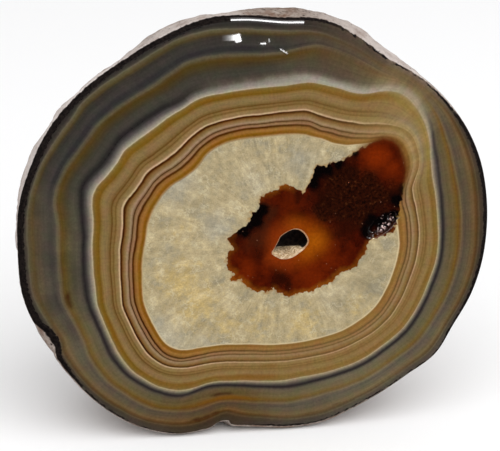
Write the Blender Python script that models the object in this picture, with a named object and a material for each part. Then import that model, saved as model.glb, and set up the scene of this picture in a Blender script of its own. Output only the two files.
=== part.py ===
"""Polished banded agate: a piece of a nodule, sawn and polished on one face and ground flat below, so that it stands.

Sizes are in millimetres in the face frame and become metres when a mesh is made. The face frame starts at the
middle of the small hollow: u runs right and v up along the polished face, and w runs into the stone. The face
leans back. In the part's own frame +Z is up, the polished face looks towards -Y, and the ground flat is at z = 0.
"""

import math

import bmesh
import bpy
import numpy as np
from mathutils import Vector, noise

MM = 0.001

# The whole stone
FACE_LEAN = math.radians(8.0)
HOLLOW_PLACE = Vector((9.478, -23.710, 63.9))  # the hollow's middle in the part's frame
STONE_DEPTH = 56.0
LIP = 1.8  # radius of the rounded edge between the polished face and the skin
BACK_POLE = (-9.0, -2.0)  # u and v of the rearmost point

# Distance from the hollow's middle to the edge of the face, every 10 degrees from +u, anticlockwise
RIM_STEP = 10.0
RIM = (
    66.8, 67.6, 68.5, 68.8, 68.5, 67.8, 67.0, 69.5, 71.5, 71.5, 74.0, 76.5,
    77.5, 79.0, 81.5, 84.0, 85.0, 86.0, 85.5, 85.5, 83.5, 82.0, 80.5, 78.0,
    73.5, 66.0, 63.5, 63.5, 63.5, 62.5, 62.2, 62.8, 64.8, 64.3, 65.4, 66.2,
)  # fmt: skip

# The fold at the bottom of the edge, and the place at the lower left where the skin is chipped:
# middle and half width in degrees, depth, and how far back it reaches
FOLD = (250.6, 2.2, 1.9, 22.0)
CHIP = (200.6, 3.6, 2.1, 4.0)

SWELL_DEPTH = 14.0
# How far the skin bulges behind the edge at SWELL_DEPTH, every 10 degrees from +u, anticlockwise
SWELL = (
    0.0, 0.0, 0.0, 0.2, 0.8, 2.0, 4.1, 4.2, 3.0, 2.6, 1.5, 1.5,
    0.6, -0.9, 0.2, 0.0, -0.4, -0.6, 0.2, 1.2, 2.2, 1.4, 1.2, 1.3,
    1.7, 2.2, 3.1, 3.4, 3.1, 2.3, 1.4, 0.7, 0.2, 0.0, 0.0, 0.0,
)  # fmt: skip
DOME_POWER = 2.4
DOME_POWER_BOTTOM = 4.6
ROUNDER_BEHIND = 40.0  # half of the turn in degrees over which the edge's bends are evened out at the back
LUMP_SIZES = ((30.0, 2.0), (11.0, 0.7))  # wavelength and height of each
LUMPS_BEGIN = 13.0

# The hollow
HOLLOW_OUTLINE = (
    (7.8, -0.9), (6.9, 1.6), (5.2, 3.2), (3.2, 3.6), (0.8, 2.8), (-1.4, 1.4), (-2.6, -0.8),
    (-3.6, -2.6), (-4.4, -4.2), (-2.8, -5.6), (-0.6, -6.4), (2.2, -6.0), (4.6, -4.6), (6.4, -3.2),
)  # fmt: skip
HOLLOW_MIDDLE = (1.6, -1.6)
HOLLOW_SECTIONS = (  # depth, scale, and how far the section is moved down
    (0.0, 1.0, 0.0),
    (3.0, 1.02, 0.0),
    (7.0, 1.08, 0.2),
    (11.0, 1.16, 0.5),
    (14.0, 1.28, 1.2),
    (17.0, 1.36, 2.2),
    (20.5, 1.2, 2.4),
    (23.0, 0.7, 2.0),
)
HOLLOW_END = 24.0

# The crust of small crystals that lines the front of the hollow
CRUST_SECTIONS = (0.2, 1.4, 2.8, 4.4, 6.0, 7.8, 9.6, 11.4)
CRUST_SIDE = 0.5
CRUST_FLOOR = 1.5
CRYSTAL_HEIGHT = 0.35

# The open pocket at the right of the dark middle, and the crystals on its floor
POCKET_MIDDLE = (31.8, 3.3)
POCKET_HALF = (6.2, 2.7)
POCKET_TILT = math.radians(38.0)
POCKET_DEPTH = 3.6
POCKET_TAPER = 0.86
POCKET_CRYSTAL_BED = 0.9
POCKET_CRYSTAL_HEIGHT = (0.5, 1.7)

GAP = 0.4  # between a crust and the stone around it

AROUND_STONE = 120
EXTRA_ANGLES = (198.0, 203.6, 247.6, 249.4, 250.6, 251.8, 253.4)
BACK_STATIONS = 15
LIP_STEPS = 3
AROUND_HOLLOW = 40
AROUND_POCKET = 26
BED_RINGS = 3


def smooth(x):
    """0 below 0, 1 above 1, and an S-shaped rise between them."""
    x = min(max(x, 0.0), 1.0)
    return x * x * (3.0 - 2.0 * x)


def cubic(before, start, end, after, share):
    """The curve through start and end that also heeds the values on each side."""
    return 0.5 * (
        2.0 * start
        + (end - before) * share
        + (2.0 * before - 5.0 * start + 4.0 * end - after) * share**2
        + (3.0 * start - before - 3.0 * end + after) * share**3
    )


def radius_at(radii, angle):
    """Reads a ring of radii, which are RIM_STEP apart, at an angle in degrees."""
    place = (angle % 360.0) / RIM_STEP
    first = int(place)
    around = [radii[(first + step) % len(radii)] for step in (-1, 0, 1, 2)]
    return cubic(*around, place - first)


def dip(angle, depth_in, feature):
    """How far a fold or chip pulls the edge in, at an angle and at a depth behind the face."""
    middle, half_width, depth, reach = feature
    off = abs((angle - middle + 180.0) % 360.0 - 180.0) / half_width
    return depth * math.exp(-(off**4)) * (1.0 - smooth(depth_in / reach))


def rim_radius(angle, depth_in=0.0):
    """The edge's distance from the middle. Its bends are evened out towards the back."""
    spread = ROUNDER_BEHIND * smooth(depth_in / STONE_DEPTH)
    near = [radius_at(RIM, angle + spread * share) for share in (-1.0, -0.5, 0.0, 0.5, 1.0)]
    return sum(near) / len(near) - dip(angle, depth_in, FOLD) - dip(angle, depth_in, CHIP)


def swell_at(angle, depth_in):
    """The bulge of the skin behind the edge."""
    return radius_at(SWELL, angle) * math.sin(0.5 * math.pi * min(depth_in / SWELL_DEPTH, 1.0))


def skin_point(angle, depth_in):
    """A point of the rough skin, before its lumps."""
    share = depth_in / STONE_DEPTH
    down = max(-math.sin(math.radians(angle)), 0.0)
    power = DOME_POWER + (DOME_POWER_BOTTOM - DOME_POWER) * down**2
    dome = math.sqrt(max(1.0 - share**power, 0.0))
    radius = (rim_radius(angle, depth_in) + swell_at(angle, depth_in)) * dome
    shift = smooth(share)
    turn = math.radians(angle)
    return Vector(
        (
            radius * math.cos(turn) + BACK_POLE[0] * shift,
            radius * math.sin(turn) + BACK_POLE[1] * shift,
            depth_in,
        )
    )


def lumpy(point):
    """Moves a point of the skin out or in by the rounded lumps of a natural nodule."""
    outward = Vector((point.x, point.y, 1.4 * point.z)).normalized()
    height = sum(tall * noise.noise(point / long) for long, tall in LUMP_SIZES)
    return point + outward * height * smooth(point.z / LUMPS_BEGIN)


def to_part(point):
    """From the face frame in millimetres to the part's frame in metres."""
    u, v, w = point
    lean = Vector(
        (
            u,
            w * math.cos(FACE_LEAN) + v * math.sin(FACE_LEAN),
            v * math.cos(FACE_LEAN) - w * math.sin(FACE_LEAN),
        )
    )
    return (lean + HOLLOW_PLACE) * MM


def stone_angles():
    even = [360.0 * step / AROUND_STONE for step in range(AROUND_STONE)]
    near = [a for a in even if min(abs(a - extra) for extra in EXTRA_ANGLES) > 0.7]
    return sorted(near + list(EXTRA_ANGLES))


def closed_curve(points, count):
    """Points evenly spaced in turn along a smooth closed curve through the given ones."""
    places = np.array(points)
    total = len(places)
    found = []
    for step in range(count):
        place = step * total / count
        first = int(place)
        around = [places[(first + near) % total] for near in (-1, 0, 1, 2)]
        found.append(cubic(*around, place - first))
    return found


def ring(mesh, points):
    return [mesh.verts.new(to_part(point)) for point in points]


def join_rings(mesh, first, second):
    """A band of faces between two rings of as many points."""
    count = len(first)
    for here in range(count):
        after = (here + 1) % count
        mesh.faces.new((first[here], first[after], second[after], second[here]))


def close_with_point(mesh, loop, point):
    tip = mesh.verts.new(to_part(point))
    for here in range(len(loop)):
        mesh.faces.new((loop[here], loop[(here + 1) % len(loop)], tip))


def loop_edges(mesh, loop):
    return [mesh.edges.get((loop[here - 1], loop[here])) for here in range(len(loop))]


def make_object(name, mesh, material):
    bmesh.ops.recalc_face_normals(mesh, faces=mesh.faces)
    data = bpy.data.meshes.new(name)
    mesh.to_mesh(data)
    mesh.free()
    made = bpy.data.objects.new(name, data)
    bpy.context.scene.collection.objects.link(made)
    if material:
        data.materials.append(material)
    return made


def make_material(name, colour, roughness):
    material = bpy.data.materials.new(name)
    material.use_nodes = True
    shader = material.node_tree.nodes["Principled BSDF"]
    shader.inputs["Base Color"].default_value = (*colour, 1.0)
    shader.inputs["Roughness"].default_value = roughness
    shader.inputs["Metallic"].default_value = 0.0
    return material


def hollow_section(depth_in, scale, down, inset=None):
    """The hollow's outline at a depth. inset gives how far each of its points is pulled in."""
    middle = np.array(HOLLOW_MIDDLE)
    points = []
    for place in closed_curve(HOLLOW_OUTLINE, AROUND_HOLLOW):
        arm = (place - middle) * scale
        reach = float(np.linalg.norm(arm))
        if inset:
            arm = arm * (reach - inset(arm / reach)) / reach
        u, v = middle + arm
        points.append((u, v - down, depth_in))
    return points


def stone_mesh():
    """The nodule with its polished face, rounded edge, skin and hollow, cut flat below."""
    mesh = bmesh.new()
    angles = stone_angles()
    rings = []
    for step in range(LIP_STEPS + 1):
        turn = 0.5 * math.pi * step / LIP_STEPS
        inset = LIP * (1.0 - math.sin(turn))
        depth_in = LIP * (1.0 - math.cos(turn))
        points = []
        for angle in angles:
            point = skin_point(angle, depth_in)
            flat = Vector((point.x, point.y, 0.0))
            points.append(point - flat.normalized() * inset)
        rings.append(ring(mesh, points))
    for step in range(1, BACK_STATIONS):
        share = math.sin(0.5 * math.pi * step / BACK_STATIONS)
        depth_in = LIP + (STONE_DEPTH - LIP) * share
        rings.append(ring(mesh, [lumpy(skin_point(angle, depth_in)) for angle in angles]))
    for first, second in zip(rings, rings[1:]):
        join_rings(mesh, first, second)
    close_with_point(mesh, rings[-1], lumpy(Vector((*BACK_POLE, STONE_DEPTH))))

    hollow = [ring(mesh, hollow_section(*section)) for section in HOLLOW_SECTIONS]
    for first, second in zip(hollow, hollow[1:]):
        join_rings(mesh, first, second)
    end_down = HOLLOW_SECTIONS[-1][2]
    close_with_point(mesh, hollow[-1], (HOLLOW_MIDDLE[0], HOLLOW_MIDDLE[1] - end_down, HOLLOW_END))

    for face in mesh.faces:
        face.smooth = True
    edges = loop_edges(mesh, rings[0]) + loop_edges(mesh, hollow[0])
    bmesh.ops.triangle_fill(mesh, use_beauty=True, use_dissolve=False, edges=edges)
    grind_flat(mesh)
    return mesh


def grind_flat(mesh):
    """Cuts the stone off at z = 0 and closes the cut with one flat face."""
    everything = mesh.verts[:] + mesh.edges[:] + mesh.faces[:]
    cut = bmesh.ops.bisect_plane(
        mesh, geom=everything, dist=1e-7, plane_co=(0, 0, 0), plane_no=(0, 0, 1), clear_inner=True
    )
    rim = [item for item in cut["geom_cut"] if isinstance(item, bmesh.types.BMEdge)]
    bmesh.ops.holes_fill(mesh, edges=rim, sides=0)


def pocket_ring(scale, inset, depth_in):
    """The pocket's oval, made smaller by a scale and by an inset, at a depth."""
    points = []
    for step in range(AROUND_POCKET):
        turn = 2.0 * math.pi * step / AROUND_POCKET
        along = (POCKET_HALF[0] * scale - inset) * math.cos(turn)
        across = (POCKET_HALF[1] * scale - inset) * math.sin(turn)
        u = POCKET_MIDDLE[0] + along * math.cos(POCKET_TILT) - across * math.sin(POCKET_TILT)
        v = POCKET_MIDDLE[1] + along * math.sin(POCKET_TILT) + across * math.cos(POCKET_TILT)
        points.append((u, v, depth_in))
    return points


def pocket_cutter():
    mesh = bmesh.new()
    over = 1.0  # how far the cutter stands out of the face
    top = ring(mesh, pocket_ring(1.0, 0.0, -over))
    floor = ring(mesh, pocket_ring(POCKET_TAPER, 0.0, POCKET_DEPTH))
    join_rings(mesh, top, floor)
    mesh.faces.new(top)
    mesh.faces.new(floor)
    cutter = make_object("pocket_cutter", mesh, None)
    cutter.hide_render = True
    cutter.display_type = "WIRE"
    return cutter


def point_up(mesh, faces, height_of):
    """Raises a small pyramid on each face, with its tip at the height given for its middle."""
    for face in faces:
        middle = face.calc_center_median()
        tip = middle + face.normal * height_of(middle) * MM
        corners = face.verts[:]
        mesh.faces.remove(face)
        point = mesh.verts.new(tip)
        for here in range(len(corners)):
            mesh.faces.new((corners[here - 1], corners[here], point))


def hollow_crust_mesh():
    """A sleeve inside the front of the hollow, thickest on its floor, with small points on its inner side."""

    def outer_inset(arm):
        return GAP

    def inner_inset(arm):
        floor = smooth(-arm[1] * 1.6)
        return GAP + CRUST_SIDE + (CRUST_FLOOR - CRUST_SIDE) * floor

    def section_at(depth_in):
        depths, scales, downs = zip(*HOLLOW_SECTIONS)
        return float(np.interp(depth_in, depths, scales)), float(np.interp(depth_in, depths, downs))

    mesh = bmesh.new()
    outer = [ring(mesh, hollow_section(w, *section_at(w), outer_inset)) for w in CRUST_SECTIONS]
    inner = [ring(mesh, hollow_section(w, *section_at(w), inner_inset)) for w in CRUST_SECTIONS]
    for loops in (outer, inner):
        for first, second in zip(loops, loops[1:]):
            join_rings(mesh, first, second)
    join_rings(mesh, outer[0], inner[0])
    join_rings(mesh, outer[-1], inner[-1])
    bmesh.ops.recalc_face_normals(mesh, faces=mesh.faces)
    inside = {vert for loop in inner for vert in loop}
    faces = [face for face in mesh.faces if all(vert in inside for vert in face.verts)]
    point_up(mesh, faces, lambda place: CRYSTAL_HEIGHT * (0.6 + 0.4 * noise.noise(place / MM)))
    return mesh


def pocket_crystals_mesh():
    """A bed on the pocket's floor with short crystal points, tallest at its lower right."""
    mesh = bmesh.new()
    bottom_w = POCKET_DEPTH - GAP
    top_w = bottom_w - POCKET_CRYSTAL_BED
    insets = [GAP + POCKET_HALF[1] * POCKET_TAPER * 0.75 * step / BED_RINGS for step in range(BED_RINGS)]
    top = [ring(mesh, pocket_ring(POCKET_TAPER, inset, top_w)) for inset in insets]
    bottom = ring(mesh, pocket_ring(POCKET_TAPER, GAP, bottom_w))
    join_rings(mesh, bottom, top[0])
    for first, second in zip(top, top[1:]):
        join_rings(mesh, first, second)
    centre = mesh.faces.new(top[-1])
    mesh.faces.new(bottom)
    bmesh.ops.recalc_face_normals(mesh, faces=mesh.faces)
    above = {vert for loop in top for vert in loop}
    faces = [face for face in mesh.faces if face is not centre and all(vert in above for vert in face.verts)]
    low, high = POCKET_CRYSTAL_HEIGHT
    corner = to_part((POCKET_MIDDLE[0] + 2.0, POCKET_MIDDLE[1] - 2.0, top_w))

    def height_of(place):
        near = smooth(1.0 - (place - corner).length / MM / 8.0)
        return low + (high - low) * near * (0.7 + 0.5 * noise.noise(place / MM * 1.3))

    point_up(mesh, faces, height_of)
    return mesh


def main():
    for old in list(bpy.data.objects):
        bpy.data.objects.remove(old)

    banded = make_material("banded_agate", (0.22, 0.17, 0.1), 0.12)
    cream = make_material("cream_crystals", (0.62, 0.5, 0.36), 0.45)
    rosy = make_material("rosy_crystals", (0.5, 0.36, 0.28), 0.25)

    stone = make_object("agate", stone_mesh(), banded)
    cut = stone.modifiers.new("pocket", "BOOLEAN")
    cut.operation = "DIFFERENCE"
    cut.solver = "EXACT"
    cut.object = pocket_cutter()

    make_object("hollow_crust", hollow_crust_mesh(), cream)
    make_object("pocket_crystals", pocket_crystals_mesh(), rosy)


main()
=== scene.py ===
"""Looks of the polished banded agate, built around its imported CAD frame.

Sizes are in millimetres in the face frame of the CAD source and become metres when a mesh is made. The face
frame starts at the middle of the small hollow: u runs right and v up along the polished face, and w runs into
the stone. Colours are given as a screen shows them, from 0 to 255.
"""

import math
import random

import bmesh
import bpy
import numpy as np
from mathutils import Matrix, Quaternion, Vector, noise


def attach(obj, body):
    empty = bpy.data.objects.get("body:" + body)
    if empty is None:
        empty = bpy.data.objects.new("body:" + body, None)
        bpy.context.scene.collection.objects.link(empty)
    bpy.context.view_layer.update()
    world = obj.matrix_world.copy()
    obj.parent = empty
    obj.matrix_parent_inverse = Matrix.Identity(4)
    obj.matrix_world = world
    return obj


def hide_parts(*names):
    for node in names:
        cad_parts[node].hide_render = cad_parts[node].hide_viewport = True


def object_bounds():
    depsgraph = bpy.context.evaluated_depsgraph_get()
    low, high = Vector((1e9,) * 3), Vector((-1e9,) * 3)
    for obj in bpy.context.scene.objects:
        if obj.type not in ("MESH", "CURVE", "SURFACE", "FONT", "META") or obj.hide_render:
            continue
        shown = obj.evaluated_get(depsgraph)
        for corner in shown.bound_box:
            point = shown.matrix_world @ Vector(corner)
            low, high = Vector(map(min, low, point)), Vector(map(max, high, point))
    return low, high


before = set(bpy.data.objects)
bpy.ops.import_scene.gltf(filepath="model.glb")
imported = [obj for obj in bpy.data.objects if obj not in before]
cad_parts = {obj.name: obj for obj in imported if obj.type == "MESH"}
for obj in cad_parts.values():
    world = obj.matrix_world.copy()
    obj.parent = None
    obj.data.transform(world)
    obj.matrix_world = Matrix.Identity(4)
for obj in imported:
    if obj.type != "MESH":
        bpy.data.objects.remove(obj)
CAD_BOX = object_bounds()

MM = 0.001

# The whole stone, as in the CAD source
FACE_LEAN = math.radians(8.0)
HOLLOW_PLACE = np.array((9.478, -23.710, 63.9))
STONE_DEPTH = 56.0
LIP = 1.8
BACK_POLE = np.array((-9.0, -2.0))

# Distances from the hollow's middle, every 10 degrees from +u, anticlockwise
RING_STEP = 10.0
RIM = (
    66.8, 67.6, 68.5, 68.8, 68.5, 67.8, 67.0, 69.5, 71.5, 71.5, 74.0, 76.5,
    77.5, 79.0, 81.5, 84.0, 85.0, 86.0, 85.5, 85.5, 83.5, 82.0, 80.5, 78.0,
    73.5, 66.0, 63.5, 63.5, 63.5, 62.5, 62.2, 62.8, 64.8, 64.3, 65.4, 66.2,
)  # fmt: skip
WHITE_LINE = (
    50.5, 51.0, 52.5, 56.5, 59.5, 59.5, 54.0, 52.0, 52.0, 51.0, 50.5, 52.0,
    54.5, 55.0, 57.0, 60.0, 63.0, 62.5, 62.0, 62.5, 63.5, 64.5, 65.0, 63.0,
    55.0, 49.0, 47.0, 47.0, 47.0, 47.5, 48.5, 49.0, 50.0, 50.0, 50.0, 50.5,
)  # fmt: skip
CREAM_LINE = (
    44.0, 44.0, 44.5, 50.0, 52.5, 48.5, 43.5, 42.0, 42.5, 42.0, 42.5, 44.0,
    45.5, 46.0, 46.5, 49.0, 52.0, 53.0, 53.0, 54.5, 56.0, 57.0, 57.0, 54.0,
    45.5, 42.0, 40.5, 40.0, 40.0, 41.0, 42.0, 43.0, 43.5, 43.5, 43.5, 44.0,
)  # fmt: skip
QUARTZ_EDGE = (
    37.0, 37.0, 39.0, 45.0, 46.0, 40.5, 35.5, 35.0, 35.0, 35.0, 35.0, 36.5,
    38.0, 38.5, 38.0, 40.0, 43.5, 44.5, 45.5, 47.0, 49.5, 50.5, 51.0, 45.0,
    39.0, 36.5, 35.5, 35.0, 35.0, 35.5, 36.5, 37.0, 38.0, 38.0, 37.5, 37.5,
)  # fmt: skip

# How the lines leave those smooth rings, and two more lines, as (angle in degrees, mm outwards)
QUARTZ_WANDER = (
    (0, 0.3), (20, 0.0), (45, 0.0), (50, -0.9), (55, -0.9), (58, -0.3), (60, 0.0), (70, 0.0), (74, -0.2),
    (79, 0.0), (90, -0.25), (98, 0.0), (107, -0.2), (116, -0.25), (125, 0.0), (130, 0.0), (135, -0.3),
    (140, 0.0), (145, 0.3), (151, 1.0), (156, 0.4), (160, -0.3), (167, 0.2), (171, 0.2), (176, -0.1),
    (188, 0.3), (197, -0.2), (211, -0.1), (217, -0.35), (221, 0.1), (225, 0.9), (228, 0.7), (231, -0.3),
    (237, 0.0), (242, 0.3), (250, 0.0), (260, -0.1), (300, 0.0), (312, 0.25), (322, -0.1), (330, -0.2),
    (340, 0.15), (350, 0.1), (355, 0.4), (360, 0.3),
)  # fmt: skip
INNER_DARK = (  # the first dark line, outwards from the quartz ring
    (0, 3.1), (8, 3.2), (15, 2.0), (25, 2.0), (40, 2.5), (50, 1.3), (55, 1.8), (60, 2.8), (65, 2.8),
    (71, 2.2), (77, 2.9), (90, 2.5), (100, 2.75), (110, 2.7), (117, 2.6), (122, 2.75), (135, 2.75),
    (140, 3.1), (145, 3.5), (150, 4.2), (153, 4.3), (156, 3.6), (159, 2.8), (163, 3.1), (168, 3.6),
    (176, 2.7), (185, 3.2), (190, 3.1), (196, 2.65), (205, 2.45), (211, 2.4), (217, 2.1), (219, 2.3),
    (222, 3.2), (225, 4.1), (228, 4.7), (231, 3.4), (235, 2.6), (240, 2.7), (250, 2.3), (255, 2.05),
    (270, 2.0), (290, 2.15), (300, 2.3), (305, 2.6), (310, 2.85), (315, 2.7), (322, 2.35), (330, 2.3),
    (340, 2.5), (350, 2.7), (355, 3.0), (360, 3.1),
)  # fmt: skip
CREAM_WANDER = (
    (0, 0.0), (10, -0.2), (20, 0.0), (22, 0.4), (24, 0.8), (26, 1.1), (35, 0.4), (50, -0.7), (53, -1.0),
    (56, -0.8), (58, -0.1), (60, 0.1), (75, 0.1), (80, 0.3), (85, 0.1), (90, 0.0), (95, -0.3), (100, -0.45),
    (110, -0.6), (115, -0.5), (120, -0.25), (122, 0.0), (126, 0.1), (130, 0.0), (137, -0.2), (145, 0.2),
    (148, 0.7), (150, 1.0), (152, 0.8), (155, -0.1), (158, -0.4), (160, -0.2), (162, 0.4), (165, 0.8),
    (168, 0.2), (170, -0.2), (173, -0.5), (178, 0.0), (180, 0.3), (187, -0.2), (190, -0.3), (195, -0.2),
    (198, 0.2), (200, 0.5), (203, 0.2), (206, -0.1), (215, 0.15), (218, 0.45), (222, 0.5), (225, 0.4),
    (228, -0.2), (230, -0.55), (233, -0.7), (235, -0.55), (238, 0.15), (240, 0.6), (245, 0.7), (270, 0.7),
    (280, 0.6), (285, 0.45), (295, 0.3), (305, 0.15), (315, 0.45), (320, 0.6), (330, 0.4), (340, 0.1),
    (350, -0.1), (360, 0.0),
)  # fmt: skip
WHITE_WANDER = (
    (0, -0.3), (15, -0.6), (20, -0.9), (25, -1.5), (28, -1.8), (30, -1.4), (35, -1.0), (45, 0.0), (55, 0.9),
    (58, 0.3), (60, -0.3), (63, -0.6), (70, 0.0), (80, -0.2), (85, -0.6), (88, -0.75), (92, -0.65),
    (95, -0.3), (100, 0.25), (110, 0.1), (120, -0.1), (125, -0.2), (130, 0.4), (137, 0.15), (143, 0.3),
    (147, 0.6), (149, 0.3), (151, -0.4), (153, -0.85), (156, -1.1), (158, -0.9), (160, -0.1), (162, 0.4),
    (164, 0.7), (168, 0.3), (170, -0.3), (173, -0.5), (178, -0.1), (190, 0.0), (196, 0.45), (198, 0.5),
    (200, 0.2), (206, -0.15), (213, 0.15), (220, -0.1), (223, -0.65), (226, -0.8), (230, -0.95),
    (232, -0.7), (235, 0.1), (237, -0.1), (239, -0.7), (241, -1.1), (243, -1.05), (245, -0.65), (247, -0.1),
    (249, 0.35), (252, 0.6), (256, 0.7), (260, 0.8), (264, 0.65), (268, 0.3), (271, 0.0), (275, -0.3),
    (280, -0.2), (290, -0.1), (360, -0.1),
)  # fmt: skip
OUTER_DARK = (  # the black line, outwards from the white ring
    (0, 1.3), (20, 1.3), (25, 0.7), (30, -0.1), (37, 1.0), (45, 2.0), (55, 3.0), (62, 2.0), (80, 2.4),
    (100, 2.8), (120, 2.9), (125, 2.1), (130, 3.7), (145, 4.5), (150, 3.4), (155, 2.5), (162, 4.5),
    (170, 3.3), (175, 2.3), (180, 2.8), (195, 3.2), (200, 2.5), (205, 2.1), (212, 2.6), (220, 1.9),
    (225, 1.1), (230, 0.9), (236, 2.5), (241, 0.2), (245, 0.8), (250, 2.0), (255, 2.5), (262, 2.7),
    (270, 2.5), (280, 1.9), (300, 1.7), (345, 1.5), (360, 1.3),
)  # fmt: skip
# Two more lines, as (angle, share of the way from the white ring to the rim)
MIDDLE_LINE = (
    (0, 0.465), (10, 0.45), (20, 0.43), (30, 0.39), (45, 0.5), (62, 0.64), (72, 0.63), (80, 0.61),
    (85, 0.54), (90, 0.49), (95, 0.475), (105, 0.5), (110, 0.52), (117, 0.54), (122, 0.5), (127, 0.49),
    (132, 0.5), (137, 0.52), (145, 0.54), (150, 0.5), (155, 0.515), (160, 0.54), (165, 0.56), (168, 0.54),
    (170, 0.5), (173, 0.46), (180, 0.47), (187, 0.465), (192, 0.5), (195, 0.49), (199, 0.455), (205, 0.45),
    (208, 0.51), (216, 0.53), (222, 0.48), (227, 0.475), (237, 0.5), (240, 0.51), (243, 0.46), (247, 0.42),
    (250, 0.45), (258, 0.5), (270, 0.49), (275, 0.46), (283, 0.44), (290, 0.475), (300, 0.49), (320, 0.475),
    (332, 0.5), (342, 0.49), (350, 0.47), (360, 0.465),
)  # fmt: skip
OUTER_LINE = (
    (0, 0.8), (75, 0.8), (100, 0.82), (105, 0.84), (118, 0.865), (125, 0.84), (137, 0.87), (143, 0.87),
    (148, 0.82), (155, 0.84), (160, 0.87), (167, 0.87), (180, 0.85), (190, 0.86), (196, 0.82), (199, 0.79),
    (202, 0.83), (205, 0.86), (215, 0.86), (220, 0.84), (225, 0.8), (240, 0.8), (245, 0.78), (248, 0.7),
    (250, 0.65), (255, 0.76), (260, 0.79), (270, 0.82), (290, 0.82), (305, 0.81), (320, 0.81), (335, 0.83),
    (345, 0.83), (355, 0.82), (360, 0.8),
)  # fmt: skip
# Band numbers of those lines, from the quartz's edge to the rim
INNER_DARK_BAND, CREAM_BAND, WHITE_BAND = 0.163, 0.47, 1.0
OUTER_DARK_BAND, MIDDLE_BAND, OUTER_BAND, RIM_BAND = 1.15, 1.49, 1.85, 2.0

FOLD = (250.6, 2.2, 1.9, 22.0)
CHIP = (200.6, 3.6, 2.1, 4.0)

SWELL_DEPTH = 14.0
# How far the skin bulges behind the edge at SWELL_DEPTH, every 10 degrees from +u, anticlockwise
SWELL = (
    0.0, 0.0, 0.0, 0.2, 0.8, 2.0, 4.1, 4.2, 3.0, 2.6, 1.5, 1.5,
    0.6, -0.9, 0.2, 0.0, -0.4, -0.6, 0.2, 1.2, 2.2, 1.4, 1.2, 1.3,
    1.7, 2.2, 3.1, 3.4, 3.1, 2.3, 1.4, 0.7, 0.2, 0.0, 0.0, 0.0,
)  # fmt: skip
DOME_POWER = 2.4
DOME_POWER_BOTTOM = 4.6
ROUNDER_BEHIND = 40.0
LUMP_SIZES = ((30.0, 2.0), (11.0, 0.7))
LUMPS_BEGIN = 13.0
GRAIN_SIZES = ((4.2, 0.5), (2.0, 0.26))  # finer relief of the skin, which only the looks have
GRAIN_BEGINS = 3.0

HOLLOW_OUTLINE = (
    (7.8, -0.9), (6.9, 1.6), (5.2, 3.2), (3.2, 3.6), (0.8, 2.8), (-1.4, 1.4), (-2.6, -0.8),
    (-3.6, -2.6), (-4.4, -4.2), (-2.8, -5.6), (-0.6, -6.4), (2.2, -6.0), (4.6, -4.6), (6.4, -3.2),
)  # fmt: skip
HOLLOW_MIDDLE = np.array((1.6, -1.6))
HOLLOW_SECTIONS = (
    (0.0, 1.0, 0.0),
    (3.0, 1.02, 0.0),
    (7.0, 1.08, 0.2),
    (11.0, 1.16, 0.5),
    (14.0, 1.28, 1.2),
    (17.0, 1.36, 2.2),
    (20.5, 1.2, 2.4),
    (23.0, 0.7, 2.0),
)
HOLLOW_END = 24.0
FLOOR_SEEN_AT = -2.1  # the height at which the camera sees the crust's far edge

POCKET_MIDDLE = (31.8, 3.3)
POCKET_HALF = (6.2, 2.7)
POCKET_TILT = math.radians(38.0)
POCKET_DEPTH = 3.3
POCKET_WALL = 0.7  # how far in from its edge the pocket's wall reaches its floor

# The edge of the dark middle, anticlockwise
LAKE = (
    (25.5, -6.0), (27.5, -1.5), (35.2, 0.8), (36.6, 4.5), (38.1, 11.5), (38.5, 16.0), (39.5, 21.0),
    (38.5, 25.0), (37.3, 28.6), (35.3, 30.6), (32.3, 31.4), (29.2, 30.6), (25.0, 28.5), (20.0, 25.5),
    (16.5, 24.5), (13.0, 23.5), (10.5, 23.5), (10.0, 22.5), (8.5, 18.0), (6.0, 14.5), (5.5, 15.5),
    (3.5, 16.5), (1.0, 17.5), (-0.5, 18.0), (-2.5, 16.5), (-5.0, 15.5), (-7.5, 14.5), (-8.0, 12.5),
    (-8.0, 10.5), (-9.0, 9.5), (-10.5, 9.5), (-10.5, 8.0), (-12.5, 5.5), (-15.0, 3.5), (-18.5, 1.5),
    (-17.0, -1.0), (-16.5, -2.0), (-18.5, -3.5), (-19.0, -6.0), (-18.5, -8.0), (-16.5, -10.0),
    (-17.5, -12.5), (-15.0, -12.0), (-13.5, -13.0), (-11.5, -15.5), (-8.0, -16.5), (-6.0, -17.0),
    (-4.0, -16.0), (-2.5, -17.0), (0.5, -19.0), (3.0, -18.0), (8.0, -17.5), (12.5, -15.5), (15.5, -14.0),
    (18.0, -11.5), (22.5, -10.5), (24.5, -7.0),
)  # fmt: skip

# Shares of a tone or mark around the stone, as (angle in degrees, share)
RIM_BLACK = (
    (0, 0.75), (20, 0.75), (34, 0.6), (42, 0.3), (62, 0.25), (70, 0.25), (80, 0.1), (100, 0.1), (108, 0.8),
    (114, 1.0), (122, 0.85), (150, 1.0), (196, 1.0), (208, 0.85), (215, 0.35), (240, 0.2), (252, 0.0),
    (264, 0.35), (300, 0.35), (318, 0.3), (330, 0.45), (345, 0.75), (360, 0.75),
)  # fmt: skip
OCHRE_SHARE = (
    (0, 1.0), (28, 0.9), (40, 0.8), (62, 0.75), (80, 0.45), (95, 0.1), (120, 0.05), (150, 0.0), (165, 0.25),
    (172, 0.45), (195, 0.45), (207, 0.9), (230, 1.0), (360, 1.0),
)  # fmt: skip
RED_SHARE = (
    (0, 0.55), (20, 0.55), (45, 0.35), (62, 0.55), (76, 0.35), (90, 0.05), (180, 0.0), (205, 0.1),
    (228, 0.35), (240, 0.9), (253, 1.0), (262, 0.5), (272, 0.05), (335, 0.05), (350, 0.4), (360, 0.55),
)  # fmt: skip
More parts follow.
